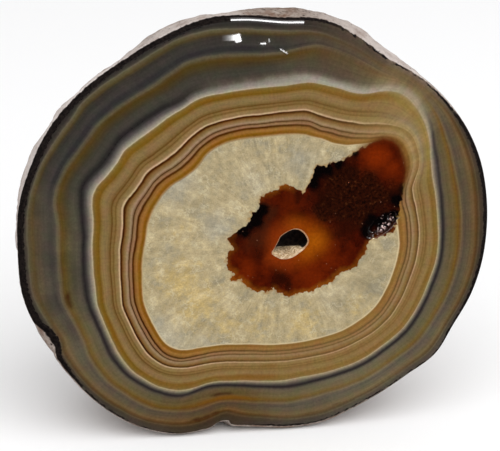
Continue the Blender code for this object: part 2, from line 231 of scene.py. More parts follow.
LIGHT_SHARE = (
    (0, 0.35), (40, 0.5), (60, 0.4), (75, 0.25), (90, 0.35), (120, 0.3), (150, 0.35), (195, 0.45), (210, 0.5),
    (232, 0.35), (250, 0.3), (284, 0.7), (300, 0.8), (318, 0.6), (345, 0.4), (360, 0.35),
)  # fmt: skip
SOFT_SHARE = (
    (0, 0.35), (15, 0.3), (50, 0.45), (62, 0.25), (80, 0.12), (100, 0.0), (215, 0.0), (240, 0.3), (262, 0.5),
    (300, 0.55), (340, 0.45), (360, 0.35),
)  # fmt: skip
# Where the dark middle fades into the bands, where its edge is thin and brown, and where the skin is pale
BLUR_SHARE = ((0, 0.0), (13, 0.0), (24, 0.8), (30, 1.0), (45, 1.0), (53, 0.0), (360, 0.0))
THIN_SHARE = (
    (0, 0.4), (10, 0.2), (25, 0.0), (75, 0.0), (84, 0.5), (92, 1.0), (99, 0.5), (108, 0.5), (120, 0.1),
    (160, 0.0), (170, 0.2), (182, 0.4), (198, 0.4), (215, 0.8), (240, 0.7), (262, 0.5), (280, 0.8),
    (300, 0.9), (330, 0.7), (345, 0.5), (360, 0.4),
)  # fmt: skip
LIP_DARK = (
    (0, 1.0), (28, 1.0), (36, 0.2), (70, 0.2), (77, 1.0), (106, 1.0), (112, 0.3), (150, 0.3), (158, 0.8),
    (196, 1.0), (205, 0.3), (250, 0.0), (300, 0.0), (330, 0.6), (340, 1.0), (360, 1.0),
)  # fmt: skip
PALE_SKIN = (
    (0, 0.3), (40, 0.5), (55, 0.8), (78, 0.5), (84, 0.1), (97, 0.1), (102, 0.6), (125, 0.7), (135, 1.0),
    (188, 0.9), (196, 0.25), (206, 0.2), (235, 0.3), (330, 0.2), (360, 0.3),
)  # fmt: skip
CLOUD_SHARE = (
    (0, 0.0), (45, 0.2), (56, 1.0), (80, 0.95), (98, 0.75), (112, 0.45), (124, 0.1), (130, 0.0), (360, 0.0),
)  # fmt: skip

# Stains of the bands: (angle, half width in degrees, band number, half width in bands)
BROWN_STAINS = (
    (193.0, 2.8, 1.40, 0.07), (247.0, 4.0, 1.33, 0.05), (245.0, 5.0, 1.77, 0.07), (286.0, 2.0, 1.78, 0.03),
    (106.0, 2.0, 1.62, 0.03), (248.0, 6.0, 1.82, 0.04), (238.0, 5.0, 1.80, 0.04),
)  # fmt: skip
ORANGE_STAINS = (
    (256.0, 12.0, 0.88, 0.09), (205.0, 6.0, 0.90, 0.07), (114.0, 10.0, 0.90, 0.05), (225.0, 5.0, 1.37, 0.04),
    (238.0, 6.0, 0.87, 0.06), (60.0, 8.0, 0.90, 0.05), (342.0, 4.0, 0.90, 0.05), (169.0, 8.0, 0.90, 0.04),
    (262.0, 5.0, 0.58, 0.06), (250.0, 10.0, 1.40, 0.04),
)  # fmt: skip

# Spots that a mark of the face is made of, as (u, v, radius, strength)
ROUND_SPOTS = {
    # painted glow: orange spots beside the hollow, standing in for light through the stone
    "painted_glow_spots": (
        (9.8, -1.0, 3.6, 0.95), (7.5, -3.8, 2.8, 0.7), (3.0, 5.0, 3.0, 0.3),
    ),
    "ember": (
        (30.6, 26.0, 5.0, 0.9), (34.6, 22.0, 5.0, 0.6), (36.0, 18.0, 3.4, 0.35),
    ),
    "black": (
        (-9.8, 7.0, 4.0, 1.0), (-7.2, 10.2, 3.0, 1.0), (-13.4, 3.8, 3.4, 1.0), (-11.6, 5.4, 3.0, 1.0),
        (-8.4, 8.8, 3.0, 1.0), (10.5, 21.5, 4.0, 1.0), (9.6, 18.0, 3.0, 1.0), (13.5, 22.5, 3.4, 1.0),
        (18.0, 24.5, 2.8, 0.9), (23.0, 27.2, 2.0, 0.8), (37.2, 11.0, 3.6, 1.0), (36.0, 6.0, 3.2, 1.0),
        (38.6, 15.0, 2.4, 0.9), (29.0, 4.6, 3.8, 1.0), (32.0, 4.0, 4.6, 1.0), (27.0, 1.2, 3.4, 1.0),
    ),
    "dim": (
        (-24.0, 7.0, 2.6, 1.0), (-12.0, -18.0, 2.6, 0.8), (4.0, 24.0, 4.0, 0.7), (-29.0, 14.0, 2.0, 0.7),
        (-4.0, -19.0, 2.0, 0.6), (6.0, 27.0, 12.0, 0.65), (28.0, -16.0, 14.0, 0.75),
    ),
    "yellow": (
        (-34.0, -12.0, 10.0, 1.0), (-29.0, -20.0, 10.0, 1.0), (-20.0, -27.0, 8.0, 0.8),
        (-9.0, -27.0, 9.0, 0.7), (6.0, -28.0, 8.0, 0.9), (-34.0, 4.0, 8.0, 0.5), (24.0, -24.0, 7.0, 0.7),
        (2.0, 30.0, 7.0, 0.5),
    ),
    "blue": (
        (-36.0, 22.0, 10.0, 1.0), (-22.0, 6.0, 6.0, 1.0), (-42.0, -32.0, 11.0, 1.0),
        (-26.0, -36.0, 9.0, 0.7), (5.0, 26.0, 7.0, 0.8), (-10.0, 20.0, 8.0, 0.6), (15.0, -22.0, 8.0, 0.5),
    ),
}  # fmt: skip
# The same for marks that are made irregular
IRREGULAR_SPOTS = {
    "mottle": (
        (15.0, 10.5, 6.5, 1.0), (22.0, 11.0, 9.0, 1.0), (30.0, 12.0, 7.5, 1.0), (19.0, 18.5, 7.0, 1.0),
        (26.0, 6.0, 5.0, 1.0), (27.0, 18.0, 5.5, 1.0), (34.0, 15.0, 5.0, 0.7),
    ),
    "smoke": (
        (-9.0, 1.0, 4.5, 1.0), (-5.0, 9.0, 4.0, 1.0), (-7.0, 5.0, 3.5, 1.0),
    ),
    "warm": (
        (-12.5, -9.5, 5.0, 1.0), (8.0, -12.0, 6.5, 1.0), (2.0, 12.5, 5.0, 0.7), (14.5, -7.0, 5.0, 0.9),
        (20.0, -6.0, 4.0, 0.3), (26.0, 22.0, 5.0, 0.5),
    ),
    "deep": (
        (-1.5, -13.0, 3.6, 1.0), (1.5, -15.0, 2.6, 1.0), (12.5, 14.0, 4.0, 0.9), (-9.0, -5.0, 3.0, 0.7),
        (19.5, 1.0, 4.5, 0.8), (37.5, 15.0, 3.0, 0.8), (20.0, 22.5, 4.0, 0.8), (-16.5, 0.0, 2.4, 0.7),
        (5.0, 14.5, 2.8, 0.8), (1.5, 13.5, 4.0, 0.5),
    ),
}  # fmt: skip

# Band numbers and distances to the edge that mark the hollow's wall and the skin
WALL_BAND, WALL_EDGE, SKIN_BAND = -3.0, 20.0, 2.2

STONE_TURN_STEP = 0.8
POCKET_TURNS = (-4.0, 17.0, 0.35)  # first and last angle, and the step there
LINE_STEPS = (4, 6, 7, 3, 4, 4, 3)  # rings between one line of the bands and the next
WALL_RINGS = 16
LIP_RINGS = 6
POLISHED_LIP = (93.1, 9.1, 3)  # its polished stretch: middle angle, half width and rings
SKIN_RINGS = 58

# Small lights seen mirrored in the polish: name, where on the face, size in metres, power, roll in degrees
GLINTS = (
    ("glint", (-13.9, 66.0), (0.0046, 0.0062), 0.0055, 12.0),
    ("small_glint", (-5.9, 64.0), (0.0048, 0.0010), 0.0006, 0.0),
    ("upright_glint", (-4.0, 64.9), (0.0009, 0.0030), 0.00012, 0.0),
    ("thin_glint", (0.6, 61.3), (0.0072, 0.0006), 0.0005, -33.0),
)
FADE_START, FADE_STEP = (-15.13, 66.2), 0.66  # the main glint's soft left side, as strips with these powers
FADE_STRIP = (0.0017, 0.0048)
FADE_POWERS = (0.0008, 0.00047, 0.00026, 0.00014, 0.00007, 0.00003)
# Where the long light is mirrored in the lip: the angle around the stone, and the lip's own turn there
LIP_LIGHT = (98.5, 21.0)

# Camera
LOOK_AT = (-11.25, 5.41, 0.0)  # in the face frame
CAMERA_DISTANCE = 700.0
CAMERA_AZIMUTH = math.radians(-8.0)
CAMERA_ELEVATION = math.radians(22.0)
CAMERA_LENS = 157.5
CAMERA_SENSOR = 36.0


# Shapes


def smooth(x):
    """0 below 0, 1 above 1, and an S-shaped rise between them."""
    x = np.clip(x, 0.0, 1.0)
    return x * x * (3.0 - 2.0 * x)


def cubic(before, start, end, after, share):
    """The curve through start and end that also heeds the values on each side."""
    return 0.5 * (
        2.0 * start
        + (end - before) * share
        + (2.0 * before - 5.0 * start + 4.0 * end - after) * share**2
        + (3.0 * start - before - 3.0 * end + after) * share**3
    )


def radius_at(radii, angles):
    """Reads a ring of radii, which are RING_STEP apart, at angles in degrees."""
    radii = np.array(radii)
    places = (angles % 360.0) / RING_STEP
    first = places.astype(int)
    around = [radii[(first + step) % len(radii)] for step in (-1, 0, 1, 2)]
    return cubic(*around, places - first)


def wander(pairs, angles):
    """Reads a list of (angle, value) pairs, with its corners slightly rounded."""
    turns, values = zip(*pairs)
    return sum(np.interp((angles + off) % 360.0, turns, values) for off in (-1.0, 0.0, 1.0)) / 3.0


def turn_from(angles, middle):
    """How far angles are from a middle one, in degrees, whichever way round is shorter."""
    return np.abs((angles - middle + 180.0) % 360.0 - 180.0)


def dip(angles, depth_in, feature):
    """How far a fold or chip pulls the edge in, at angles and at a depth behind the face."""
    middle, half_width, depth, reach = feature
    off = turn_from(angles, middle) / half_width
    return depth * np.exp(-(off**4)) * (1.0 - smooth(depth_in / reach))


def rim_radius(angles, depth_in=0.0):
    spread = ROUNDER_BEHIND * smooth(depth_in / STONE_DEPTH)
    near = [radius_at(RIM, angles + spread * share) for share in (-1.0, -0.5, 0.0, 0.5, 1.0)]
    return sum(near) / len(near) - dip(angles, depth_in, FOLD) - dip(angles, depth_in, CHIP)


def swell_at(angles, depth_in):
    return radius_at(SWELL, angles) * math.sin(0.5 * math.pi * min(depth_in / SWELL_DEPTH, 1.0))


def polar(radii, angles, depth_in):
    """Points at radii and angles around the hollow's middle, at one depth."""
    turns = np.radians(angles)
    return np.stack((radii * np.cos(turns), radii * np.sin(turns), np.full(len(angles), depth_in)), axis=1)


def skin_points(angles, depth_in):
    """Points of the rough skin, before its lumps."""
    share = depth_in / STONE_DEPTH
    down = np.maximum(-np.sin(np.radians(angles)), 0.0)
    power = DOME_POWER + (DOME_POWER_BOTTOM - DOME_POWER) * down**2
    dome = np.sqrt(np.maximum(1.0 - share**power, 0.0))
    points = polar((rim_radius(angles, depth_in) + swell_at(angles, depth_in)) * dome, angles, depth_in)
    points[:, :2] += BACK_POLE * smooth(share)
    return points


def roughened(point):
    """Moves a point of the skin by the nodule's rounded lumps, and inwards by its fine grain."""
    place = Vector(point)
    outward = Vector((place.x, place.y, 1.4 * place.z)).normalized()
    height = sum(tall * noise.noise(place / long) for long, tall in LUMP_SIZES)
    grain = sum(tall * (noise.noise(place / long) - 0.6) for long, tall in GRAIN_SIZES)
    height = height * smooth(place.z / LUMPS_BEGIN) + grain * smooth(place.z / GRAIN_BEGINS)
    return np.array(place + outward * float(height))


def to_part(points):
    """From the face frame in millimetres to the part's frame in metres."""
    points = np.asarray(points, float)
    u, v, w = points[..., 0], points[..., 1], points[..., 2]
    lean = np.stack(
        (
            u,
            w * math.cos(FACE_LEAN) + v * math.sin(FACE_LEAN),
            v * math.cos(FACE_LEAN) - w * math.sin(FACE_LEAN),
        ),
        axis=-1,
    )
    return (lean + HOLLOW_PLACE) * MM


def closed_curve(points, count):
    """Points evenly spaced in turn along a smooth closed curve through the given ones."""
    places = np.array(points)
    steps = np.arange(count) * len(places) / count
    first = steps.astype(int)
    around = [places[(first + near) % len(places)] for near in (-1, 0, 1, 2)]
    return cubic(*around, (steps - first)[:, None])


def stone_angles():
    """Angles around the hollow's middle, closer together where the pocket is."""
    first, last, step = POCKET_TURNS
    fine = np.linspace(first, last, round((last - first) / step), endpoint=False)
    left = 360.0 + first - last
    wide = np.linspace(last, last + left, round(left / STONE_TURN_STEP), endpoint=False)
    return np.concatenate((fine, wide))


def hollow_radii(angles):
    """The hollow's edge in the face, as distances from the hollow's middle."""
    edge = closed_curve(HOLLOW_OUTLINE, 400)
    turns = np.degrees(np.arctan2(edge[:, 1], edge[:, 0])) % 360.0
    order = np.argsort(turns)
    radii = np.hypot(edge[:, 0], edge[:, 1])
    return np.interp(angles % 360.0, turns[order], radii[order], period=360.0)


def hollow_section(edge, depth_in):
    """The hollow's edge in the face, carried to a depth."""
    depths, scales, downs = zip(*HOLLOW_SECTIONS)
    section = HOLLOW_MIDDLE + (edge - HOLLOW_MIDDLE) * np.interp(depth_in, depths, scales)
    section[:, 1] -= np.interp(depth_in, depths, downs)
    return np.column_stack((section, np.full(len(section), depth_in)))


def pocket_edge(places):
    """How far points of the face are inside the pocket's edge, in mm, below 0 outside."""
    along_u, along_v = places[:, 0] - POCKET_MIDDLE[0], places[:, 1] - POCKET_MIDDLE[1]
    along = along_u * math.cos(POCKET_TILT) + along_v * math.sin(POCKET_TILT)
    across = along_v * math.cos(POCKET_TILT) - along_u * math.sin(POCKET_TILT)
    out = np.hypot(along / POCKET_HALF[0], across / POCKET_HALF[1])
    ragged = np.array([noise.noise(Vector((u, v, 3.0)) / 1.1) for u, v in places[:, :2]])
    return (1.0 - out) * POCKET_HALF[1] + 0.22 * ragged


def lake_distance(places):
    """How far points of the face are inside the edge of the dark middle, in mm, below 0 outside."""
    corners = np.array(LAKE)
    after = np.roll(corners, -1, axis=0)
    side = after - corners
    arm = places[:, None, :2] - corners[None]
    share = np.clip((arm * side).sum(2) / (side**2).sum(1), 0.0, 1.0)
    nearest = np.sqrt(((arm - share[..., None] * side) ** 2).sum(2)).min(1)
    u, v = places[:, :1], places[:, 1:2]
    crosses = (corners[:, 1] > v) != (after[:, 1] > v)
    with np.errstate(divide="ignore", invalid="ignore"):
        at_u = corners[:, 0] + (v - corners[:, 1]) * side[:, 0] / side[:, 1]
    inside = (crosses & (u < at_u)).sum(1) % 2 == 1
    return np.where(inside, nearest, -nearest)


def band_lines(angles):
    """The bands' lines as (distances from the hollow's middle, band number), from the quartz outwards."""
    quartz = radius_at(QUARTZ_EDGE, angles)
    white = radius_at(WHITE_LINE, angles)
    rim = radius_at(RIM, angles)
    polished_end = rim_radius(angles) - LIP
    outer = np.minimum(white + (rim - white) * wander(OUTER_LINE, angles), polished_end - 0.3)
    end_band = OUTER_BAND + (RIM_BAND - OUTER_BAND) * (polished_end - outer) / (rim - outer)
    return (
        (quartz + wander(QUARTZ_WANDER, angles), 0.0),
        (quartz + wander(INNER_DARK, angles), INNER_DARK_BAND),
        (radius_at(CREAM_LINE, angles) + wander(CREAM_WANDER, angles), CREAM_BAND),
        (white + wander(WHITE_WANDER, angles), WHITE_BAND),
        (white + wander(OUTER_DARK, angles), OUTER_DARK_BAND),
        (white + (rim - white) * wander(MIDDLE_LINE, angles), MIDDLE_BAND),
        (outer, OUTER_BAND),
        (polished_end, end_band),
    )


def face_rings(angles):
    """Radii and band numbers of the rings of the polished face, from the hollow's edge outwards."""
    lines = band_lines(angles)
    hollow = hollow_radii(angles)
    quartz = lines[0][0]
    shares = np.concatenate((np.linspace(0.0, 0.6, 17), np.linspace(0.6, 1.0, 37)[1:]))
    rings = []
    for share in shares:
        rings.append((hollow + (quartz - hollow) * share, (hollow - quartz) * (1.0 - share) / 10.0))
    for (inner, first), (outer, last), count in zip(lines, lines[1:], LINE_STEPS):
        for share in np.arange(1, count + 1) / count:
            rings.append((inner + (outer - inner) * share, first + (last - first) * share))
    return rings


class Rings:
    """Rings of points from the hollow's end over the face and the edge to the back of the stone."""

    def __init__(self, angles):
        self.angles = angles
        self.points = []
        self.bands = []
        self.edges = []

    def add(self, points, band, edge):
        count = len(self.angles)
        self.points.append(points)
        self.bands.append(np.broadcast_to(band, count))
        self.edges.append(np.broadcast_to(edge, count))


def stone_rings():
    angles = stone_angles()
    rings = Rings(angles)
    rim = rim_radius(angles)
    outer = band_lines(angles)[-2][0]
    edge = polar(hollow_radii(angles), angles, 0.0)[:, :2]
    deepest = HOLLOW_SECTIONS[-1][0]
    for step in range(WALL_RINGS, 0, -1):
        depth_in = deepest * (step / WALL_RINGS) ** 1.3
        rings.add(hollow_section(edge, depth_in), WALL_BAND, WALL_EDGE)

    for radii, band in face_rings(angles):
        points = polar(radii, angles, 0.0)
        points[:, 2] = POCKET_DEPTH * smooth(pocket_edge(points) / POCKET_WALL)
        rings.add(points, band, rim - radii)

    for step in range(1, LIP_RINGS + 1):
        turn = 0.5 * math.pi * step / LIP_RINGS
        depth_in = LIP * (1.0 - math.cos(turn))
        points = skin_points(angles, depth_in)
        radii = np.hypot(points[:, 0], points[:, 1])
        inset = LIP * (1.0 - math.sin(turn))
        points[:, :2] *= ((radii - inset) / radii)[:, None]
        band = OUTER_BAND + (RIM_BAND - OUTER_BAND) * (rim - inset - outer) / (rim - outer)
        rings.add(points, band, inset - depth_in)
    for step in range(1, SKIN_RINGS):
        depth_in = LIP + (STONE_DEPTH - LIP) * math.sin(0.5 * math.pi * step / SKIN_RINGS)
        points = np.array([roughened(point) for point in skin_points(angles, depth_in)])
        rings.add(points, SKIN_BAND, -depth_in)
    return rings


def blob(places, middle, radius):
    """1 at a middle point of the face, falling off to 0 around it."""
    away = np.hypot(places[:, 0] - middle[0], places[:, 1] - middle[1])
    return np.exp(-((away / radius) ** 2))


def sector(angles, middle, half_width):
    """1 at a middle angle, falling off to 0 on each side."""
    return np.exp(-((turn_from(angles, middle) / half_width) ** 4))


def strongest(*masks):
    return np.max(np.array(masks), axis=0)


def spotted(places, spots):
    """Several spots of the face together, each falling off from its strength at its middle."""
    return strongest(*(strength * blob(places, (u, v), radius) for u, v, radius, strength in spots))


def stains(angles, bands, spots):
    return strongest(
        *(
            sector(angles, middle, half_turn) * np.exp(-(((bands - band) / half_band) ** 2))
            for middle, half_turn, band, half_band in spots
        )
    )


def around_hollow(places, angles):
    """1 at the hollow's edge, falling off over a way that is short at its left and long at its right. It
    marks where the dark middle gets a painted glow, standing in for light coming through the stone from the
    hollow.
    """
    reach = np.interp(angles % 360.0, (0, 60, 120, 180, 230, 300, 360), (9.0, 7.0, 6.8, 6.5, 5.6, 6.5, 9.0))
    away = np.hypot(places[:, 0], places[:, 1]) - hollow_radii(angles)
    return 1.0 - smooth(away / reach)


def warped(places, size, reach):
    """Face points moved about by noise, so that round marks become irregular."""
    moved = places.copy()
    for number, (u, v) in enumerate(places[:, :2]):
        moved[number, 0] += reach * noise.noise(Vector((u, v, 40.0)) / size)
        moved[number, 1] += reach * noise.noise(Vector((u, v, 80.0)) / size)
    return moved


def haze_share(angles, bands):
    """The hazy column at the upper right, which leans to the left outside the white line."""
    middle = 36.0 + 14.0 * smooth((bands - 0.95) / 0.15)
    half_width = 14.5 - 2.5 * smooth((bands - 1.0) / 0.3)
    return np.exp(-((turn_from(angles, middle) / half_width) ** 2)) * smooth((bands + 0.1) / 0.3)


def stone_marks(places, angles, bands):
    """The vertex values that the stone's material reads."""
    marks = {
        "lake": lake_distance(places),
        "haze": haze_share(angles, bands),
        "ochre": wander(OCHRE_SHARE, angles),
        "red": wander(RED_SHARE, angles),
        "light": wander(LIGHT_SHARE, angles),
        "soft": wander(SOFT_SHARE, angles),
        "cloud": wander(CLOUD_SHARE, angles),
        "umber": np.exp(-((turn_from(angles, 69.0) / 11.0) ** 2)),
        "rim_black": wander(RIM_BLACK, angles),
        "blur": wander(BLUR_SHARE, angles),
        "thin": wander(THIN_SHARE, angles),
        "pale_skin": wander(PALE_SKIN, angles),
        "lip_dark": wander(LIP_DARK, angles),
        "brown_stain": stains(angles, bands, BROWN_STAINS),
        "orange_stain": stains(angles, bands, ORANGE_STAINS),
        # painted glow: the dark middle made lighter and orange around the hollow, standing in for light
        # through the stone
        "painted_hollow_glow": around_hollow(places, angles),
        "right": places[:, 0] / 8.0,
    }
    moved = warped(places, 3.5, 2.6)
    for spots, where in ((ROUND_SPOTS, places), (IRREGULAR_SPOTS, moved)):
        for name, blobs in spots.items():
            marks[name] = spotted(where, blobs)
    return marks


def stone_mesh(rings):
    """One closed mesh from the rings, with the marks as vertex values."""
    angles = rings.angles
    count = len(angles)
    hollow_tip = (HOLLOW_MIDDLE[0], HOLLOW_MIDDLE[1] - HOLLOW_SECTIONS[-1][2], HOLLOW_END)
    back_tip = roughened((BACK_POLE[0], BACK_POLE[1], STONE_DEPTH))
    places = np.concatenate(rings.points + [[hollow_tip], [back_tip]])
    turns = np.concatenate([np.tile(angles, len(rings.points)), [0.0, 0.0]])
    bands = np.concatenate(rings.bands + [[WALL_BAND], [SKIN_BAND]])
    edges = np.concatenate(rings.edges + [[WALL_EDGE], [-STONE_DEPTH]])

    corners = to_part(places)
    ground = smooth(1.0 - corners[:, 2] / MM / 1.2)
    low, high = CAD_BOX
    corners = np.clip(corners, np.array(low), np.array(high))

    here = np.arange(count)
    after = (here + 1) % count
    faces = []
    for row in range(len(rings.points) - 1):
        first, second = row * count, (row + 1) * count
        faces += np.stack((first + here, second + here, second + after, first + after), axis=1).tolist()
    last = (len(rings.points) - 1) * count
    tip, pole = len(places) - 2, len(places) - 1
    faces += np.stack((np.full(count, tip), here, after), axis=1).tolist()
    faces += np.stack((last + here, np.full(count, pole), last + after), axis=1).tolist()

    mesh = bpy.data.meshes.new("agate_stone")
    mesh.from_pydata(corners.tolist(), [], faces)
    mesh.update()
    mesh.polygons.foreach_set("use_smooth", np.ones(len(faces), bool))
    keep_values(mesh, {"band": bands, "edge": edges, "ground": ground, **stone_marks(places, turns, bands)})
    keep_vectors(mesh, "place", places)
    circle = np.radians(turns)
    away = np.hypot(places[:, 0], places[:, 1])
    keep_vectors(mesh, "ray", np.stack((30.0 * np.cos(circle), 30.0 * np.sin(circle), away), axis=1))
    return mesh


def keep_values(mesh, values):
    for name, numbers in values.items():
        layer = mesh.attributes.new(name, "FLOAT", "POINT")
        layer.data.foreach_set("value", np.asarray(numbers, np.float32))


def keep_vectors(mesh, name, vectors):
    layer = mesh.attributes.new(name, "FLOAT_VECTOR", "POINT")
    layer.data.foreach_set("vector", np.asarray(vectors, np.float32).ravel())


def mark_sharp(mesh, first, count):
    """Marks the edges of a ring, which begins at one vertex number, as sharp."""
    made = bmesh.new()
    made.from_mesh(mesh)
    made.verts.ensure_lookup_table()
    for step in range(count):
        ends = (made.verts[first + step], made.verts[first + (step + 1) % count])
        made.edges.get(ends).smooth = False
    made.to_mesh(mesh)
    made.free()


def part_faces(mesh, rings):
    """Gives the second material to the hollow's wall, and the third to the rough rim and skin."""
    count = len(rings.angles)
    rough_row = WALL_RINGS + len(face_rings(rings.angles)) - 1
    middle, half_width, polished_rings = POLISHED_LIP
    polished_lip = turn_from(rings.angles, middle) < half_width
    index = np.zeros(len(mesh.polygons), int)
    index[: WALL_RINGS * count] = 1
    index[rough_row * count :] = 2
    for row in range(rough_row, rough_row + polished_rings):
        index[row * count : (row + 1) * count][polished_lip] = 0
    index[-2 * count : -count] = 1  # the fan at the hollow's end
    mesh.polygons.foreach_set("material_index", index)


def crystal_height(place, size):
    """Height between 0 and 1 of small pyramids that stand side by side, each about as wide as the size."""
    distances, _ = noise.voronoi(Vector(place) / size)
    return max(0.0, 1.0 - 1.25 * distances[0])


def crust_mesh():
    """The druse in the hollow: a thin pale lip at the front, and a floor that rises inwards in ledges."""
    around, stations, last = 190, 44, 8.6
    edge = closed_curve(HOLLOW_OUTLINE, around)
    arms = edge - HOLLOW_MIDDLE
    out = arms / np.linalg.norm(arms, axis=1)[:, None]
    floor = smooth(-out[:, 1] * 1.9 - 0.2)
    right = smooth(out[:, 0] * 1.6 - 0.2)
    mesh = bmesh.new()
    outer, inner, pale, lip = [], [], [], []
    for step in range(stations + 1):
        depth_in = 0.1 + (last - 0.1) * (step / stations) ** 1.15
        wall = hollow_section(edge, depth_in)
        ledge = 1.5 * (math.floor(depth_in / 1.5) + float(smooth((depth_in % 1.5) / 0.7)))
        front = 1.0 - float(smooth(depth_in / 1.3))
        rise = 0.14 * depth_in + 0.10 * ledge
        thick = 0.1 + front * (0.06 + 0.26 * right) + floor * (0.3 + 1.5 * rise)
        points = wall.copy()
        points[:, :2] -= out * thick[:, None]
        for number, point in enumerate(points):
            tall = crystal_height(point, 0.8) + 0.5 * crystal_height(point + 7.0, 0.45)
            strength = (0.2 + 0.35 * floor[number]) * (0.4 + 0.6 * float(smooth(depth_in / 1.0)))
            point[:2] -= out[number] * tall * strength
            point[2] += 0.25 * tall * strength
        level = FLOOR_SEEN_AT - 0.25 * depth_in
        points[:, 1] = np.where(floor > 0.3, np.minimum(points[:, 1], level), points[:, 1])
        wall[:, :2] += out * 0.05
        outer.append([mesh.verts.new(place) for place in to_part(wall)])
        inner.append([mesh.verts.new(place) for place in to_part(points)])
        # Where the crust keeps its cream colour: on its floor and at its front; elsewhere its material paints
        # it dark as shade deep in the hollow
        pale.append(np.maximum(smooth((floor - 0.25) / 0.4), 1.0 - float(smooth((depth_in - 0.5) / 0.6))))
        lip.append((1.0 - float(smooth(depth_in / 0.9))) * (1.0 - 0.7 * floor))
    for loops in (outer, inner):
        for first, second in zip(loops, loops[1:]):
            join_rings(mesh, first, second)
    join_rings(mesh, outer[0], inner[0])
    join_rings(mesh, outer[-1], inner[-1])
    bmesh.ops.recalc_face_normals(mesh, faces=mesh.faces)
    made = finished("hollow_druse", mesh)
    keep_values(made, {"pale": np.repeat(pale, 2, axis=0).ravel(), "lip": np.repeat(lip, 2, axis=0).ravel()})
    return made


def join_rings(mesh, first, second):
    """A band of faces between two rings of as many points."""
    count = len(first)
    for here in range(count):
        after = (here + 1) % count
        mesh.faces.new((first[here], first[after], second[after], second[here]))


def add_crystal(mesh, foot, lean, width, height, twist):
    """A six-sided quartz point: a short prism with a pyramid, from a foot along its lean."""
    up = Vector(lean).normalized()
    side = up.orthogonal().normalized()
    front = up.cross(side)
    foot = Vector(foot)
    loops = []
    for along, wide in ((-0.5, 1.0), (0.58, 0.92)):
        loop = []
        for corner in range(6):
            turn = twist + math.pi * corner / 3.0
            flat = (side * math.cos(turn) + front * math.sin(turn)) * wide * width
            loop.append(foot + up * height * along + flat)
        loops.append([mesh.verts.new(place) for place in to_part([tuple(place) for place in loop])])
    tip = mesh.verts.new(to_part(tuple(foot + up * height)))
    join_rings(mesh, *loops)
    mesh.faces.new(loops[0])
    for here in range(6):
        mesh.faces.new((loops[1][here - 1], loops[1][here], tip))


def pocket_crystals_mesh():
    """Quartz points along the pocket's lower right side and right end, with a few stray ones."""
    draw = random.Random(11)
    mesh = bmesh.new()
    for number in range(46):
        turn = math.radians(draw.uniform(-135.0, 0.0))
        out = draw.uniform(0.5, 0.97)
        if number > 41:
            turn, out = draw.uniform(0.0, 2.0 * math.pi), draw.uniform(0.1, 0.8)
        along = POCKET_HALF[0] * out * math.cos(turn)
        across = POCKET_HALF[1] * out * math.sin(turn)
        u = POCKET_MIDDLE[0] + along * math.cos(POCKET_TILT) - across * math.sin(POCKET_TILT)
        v = POCKET_MIDDLE[1] + along * math.sin(POCKET_TILT) + across * math.cos(POCKET_TILT)
        tall = 1.0 + 1.9 * (out - 0.5) * draw.uniform(0.7, 1.3)
        lean = (draw.uniform(-0.6, 0.4), draw.uniform(-0.2, 0.8), -1.0)
        width = draw.uniform(0.3, 0.7)
        add_crystal(mesh, (u, v, POCKET_DEPTH), lean, width, min(tall, 2.7), draw.uniform(0.0, 1.0))
    bmesh.ops.recalc_face_normals(mesh, faces=mesh.faces)
    return mesh


# Materials


def screen(red, green, blue):
    """A colour as a screen shows it, as Blender's linear colour."""
    linear = [value / 255.0 / 12.92 if value < 10.3 else ((value / 255.0 + 0.055) / 1.055) ** 2.4
              for value in (red, green, blue)]
    return (*linear, 1.0)


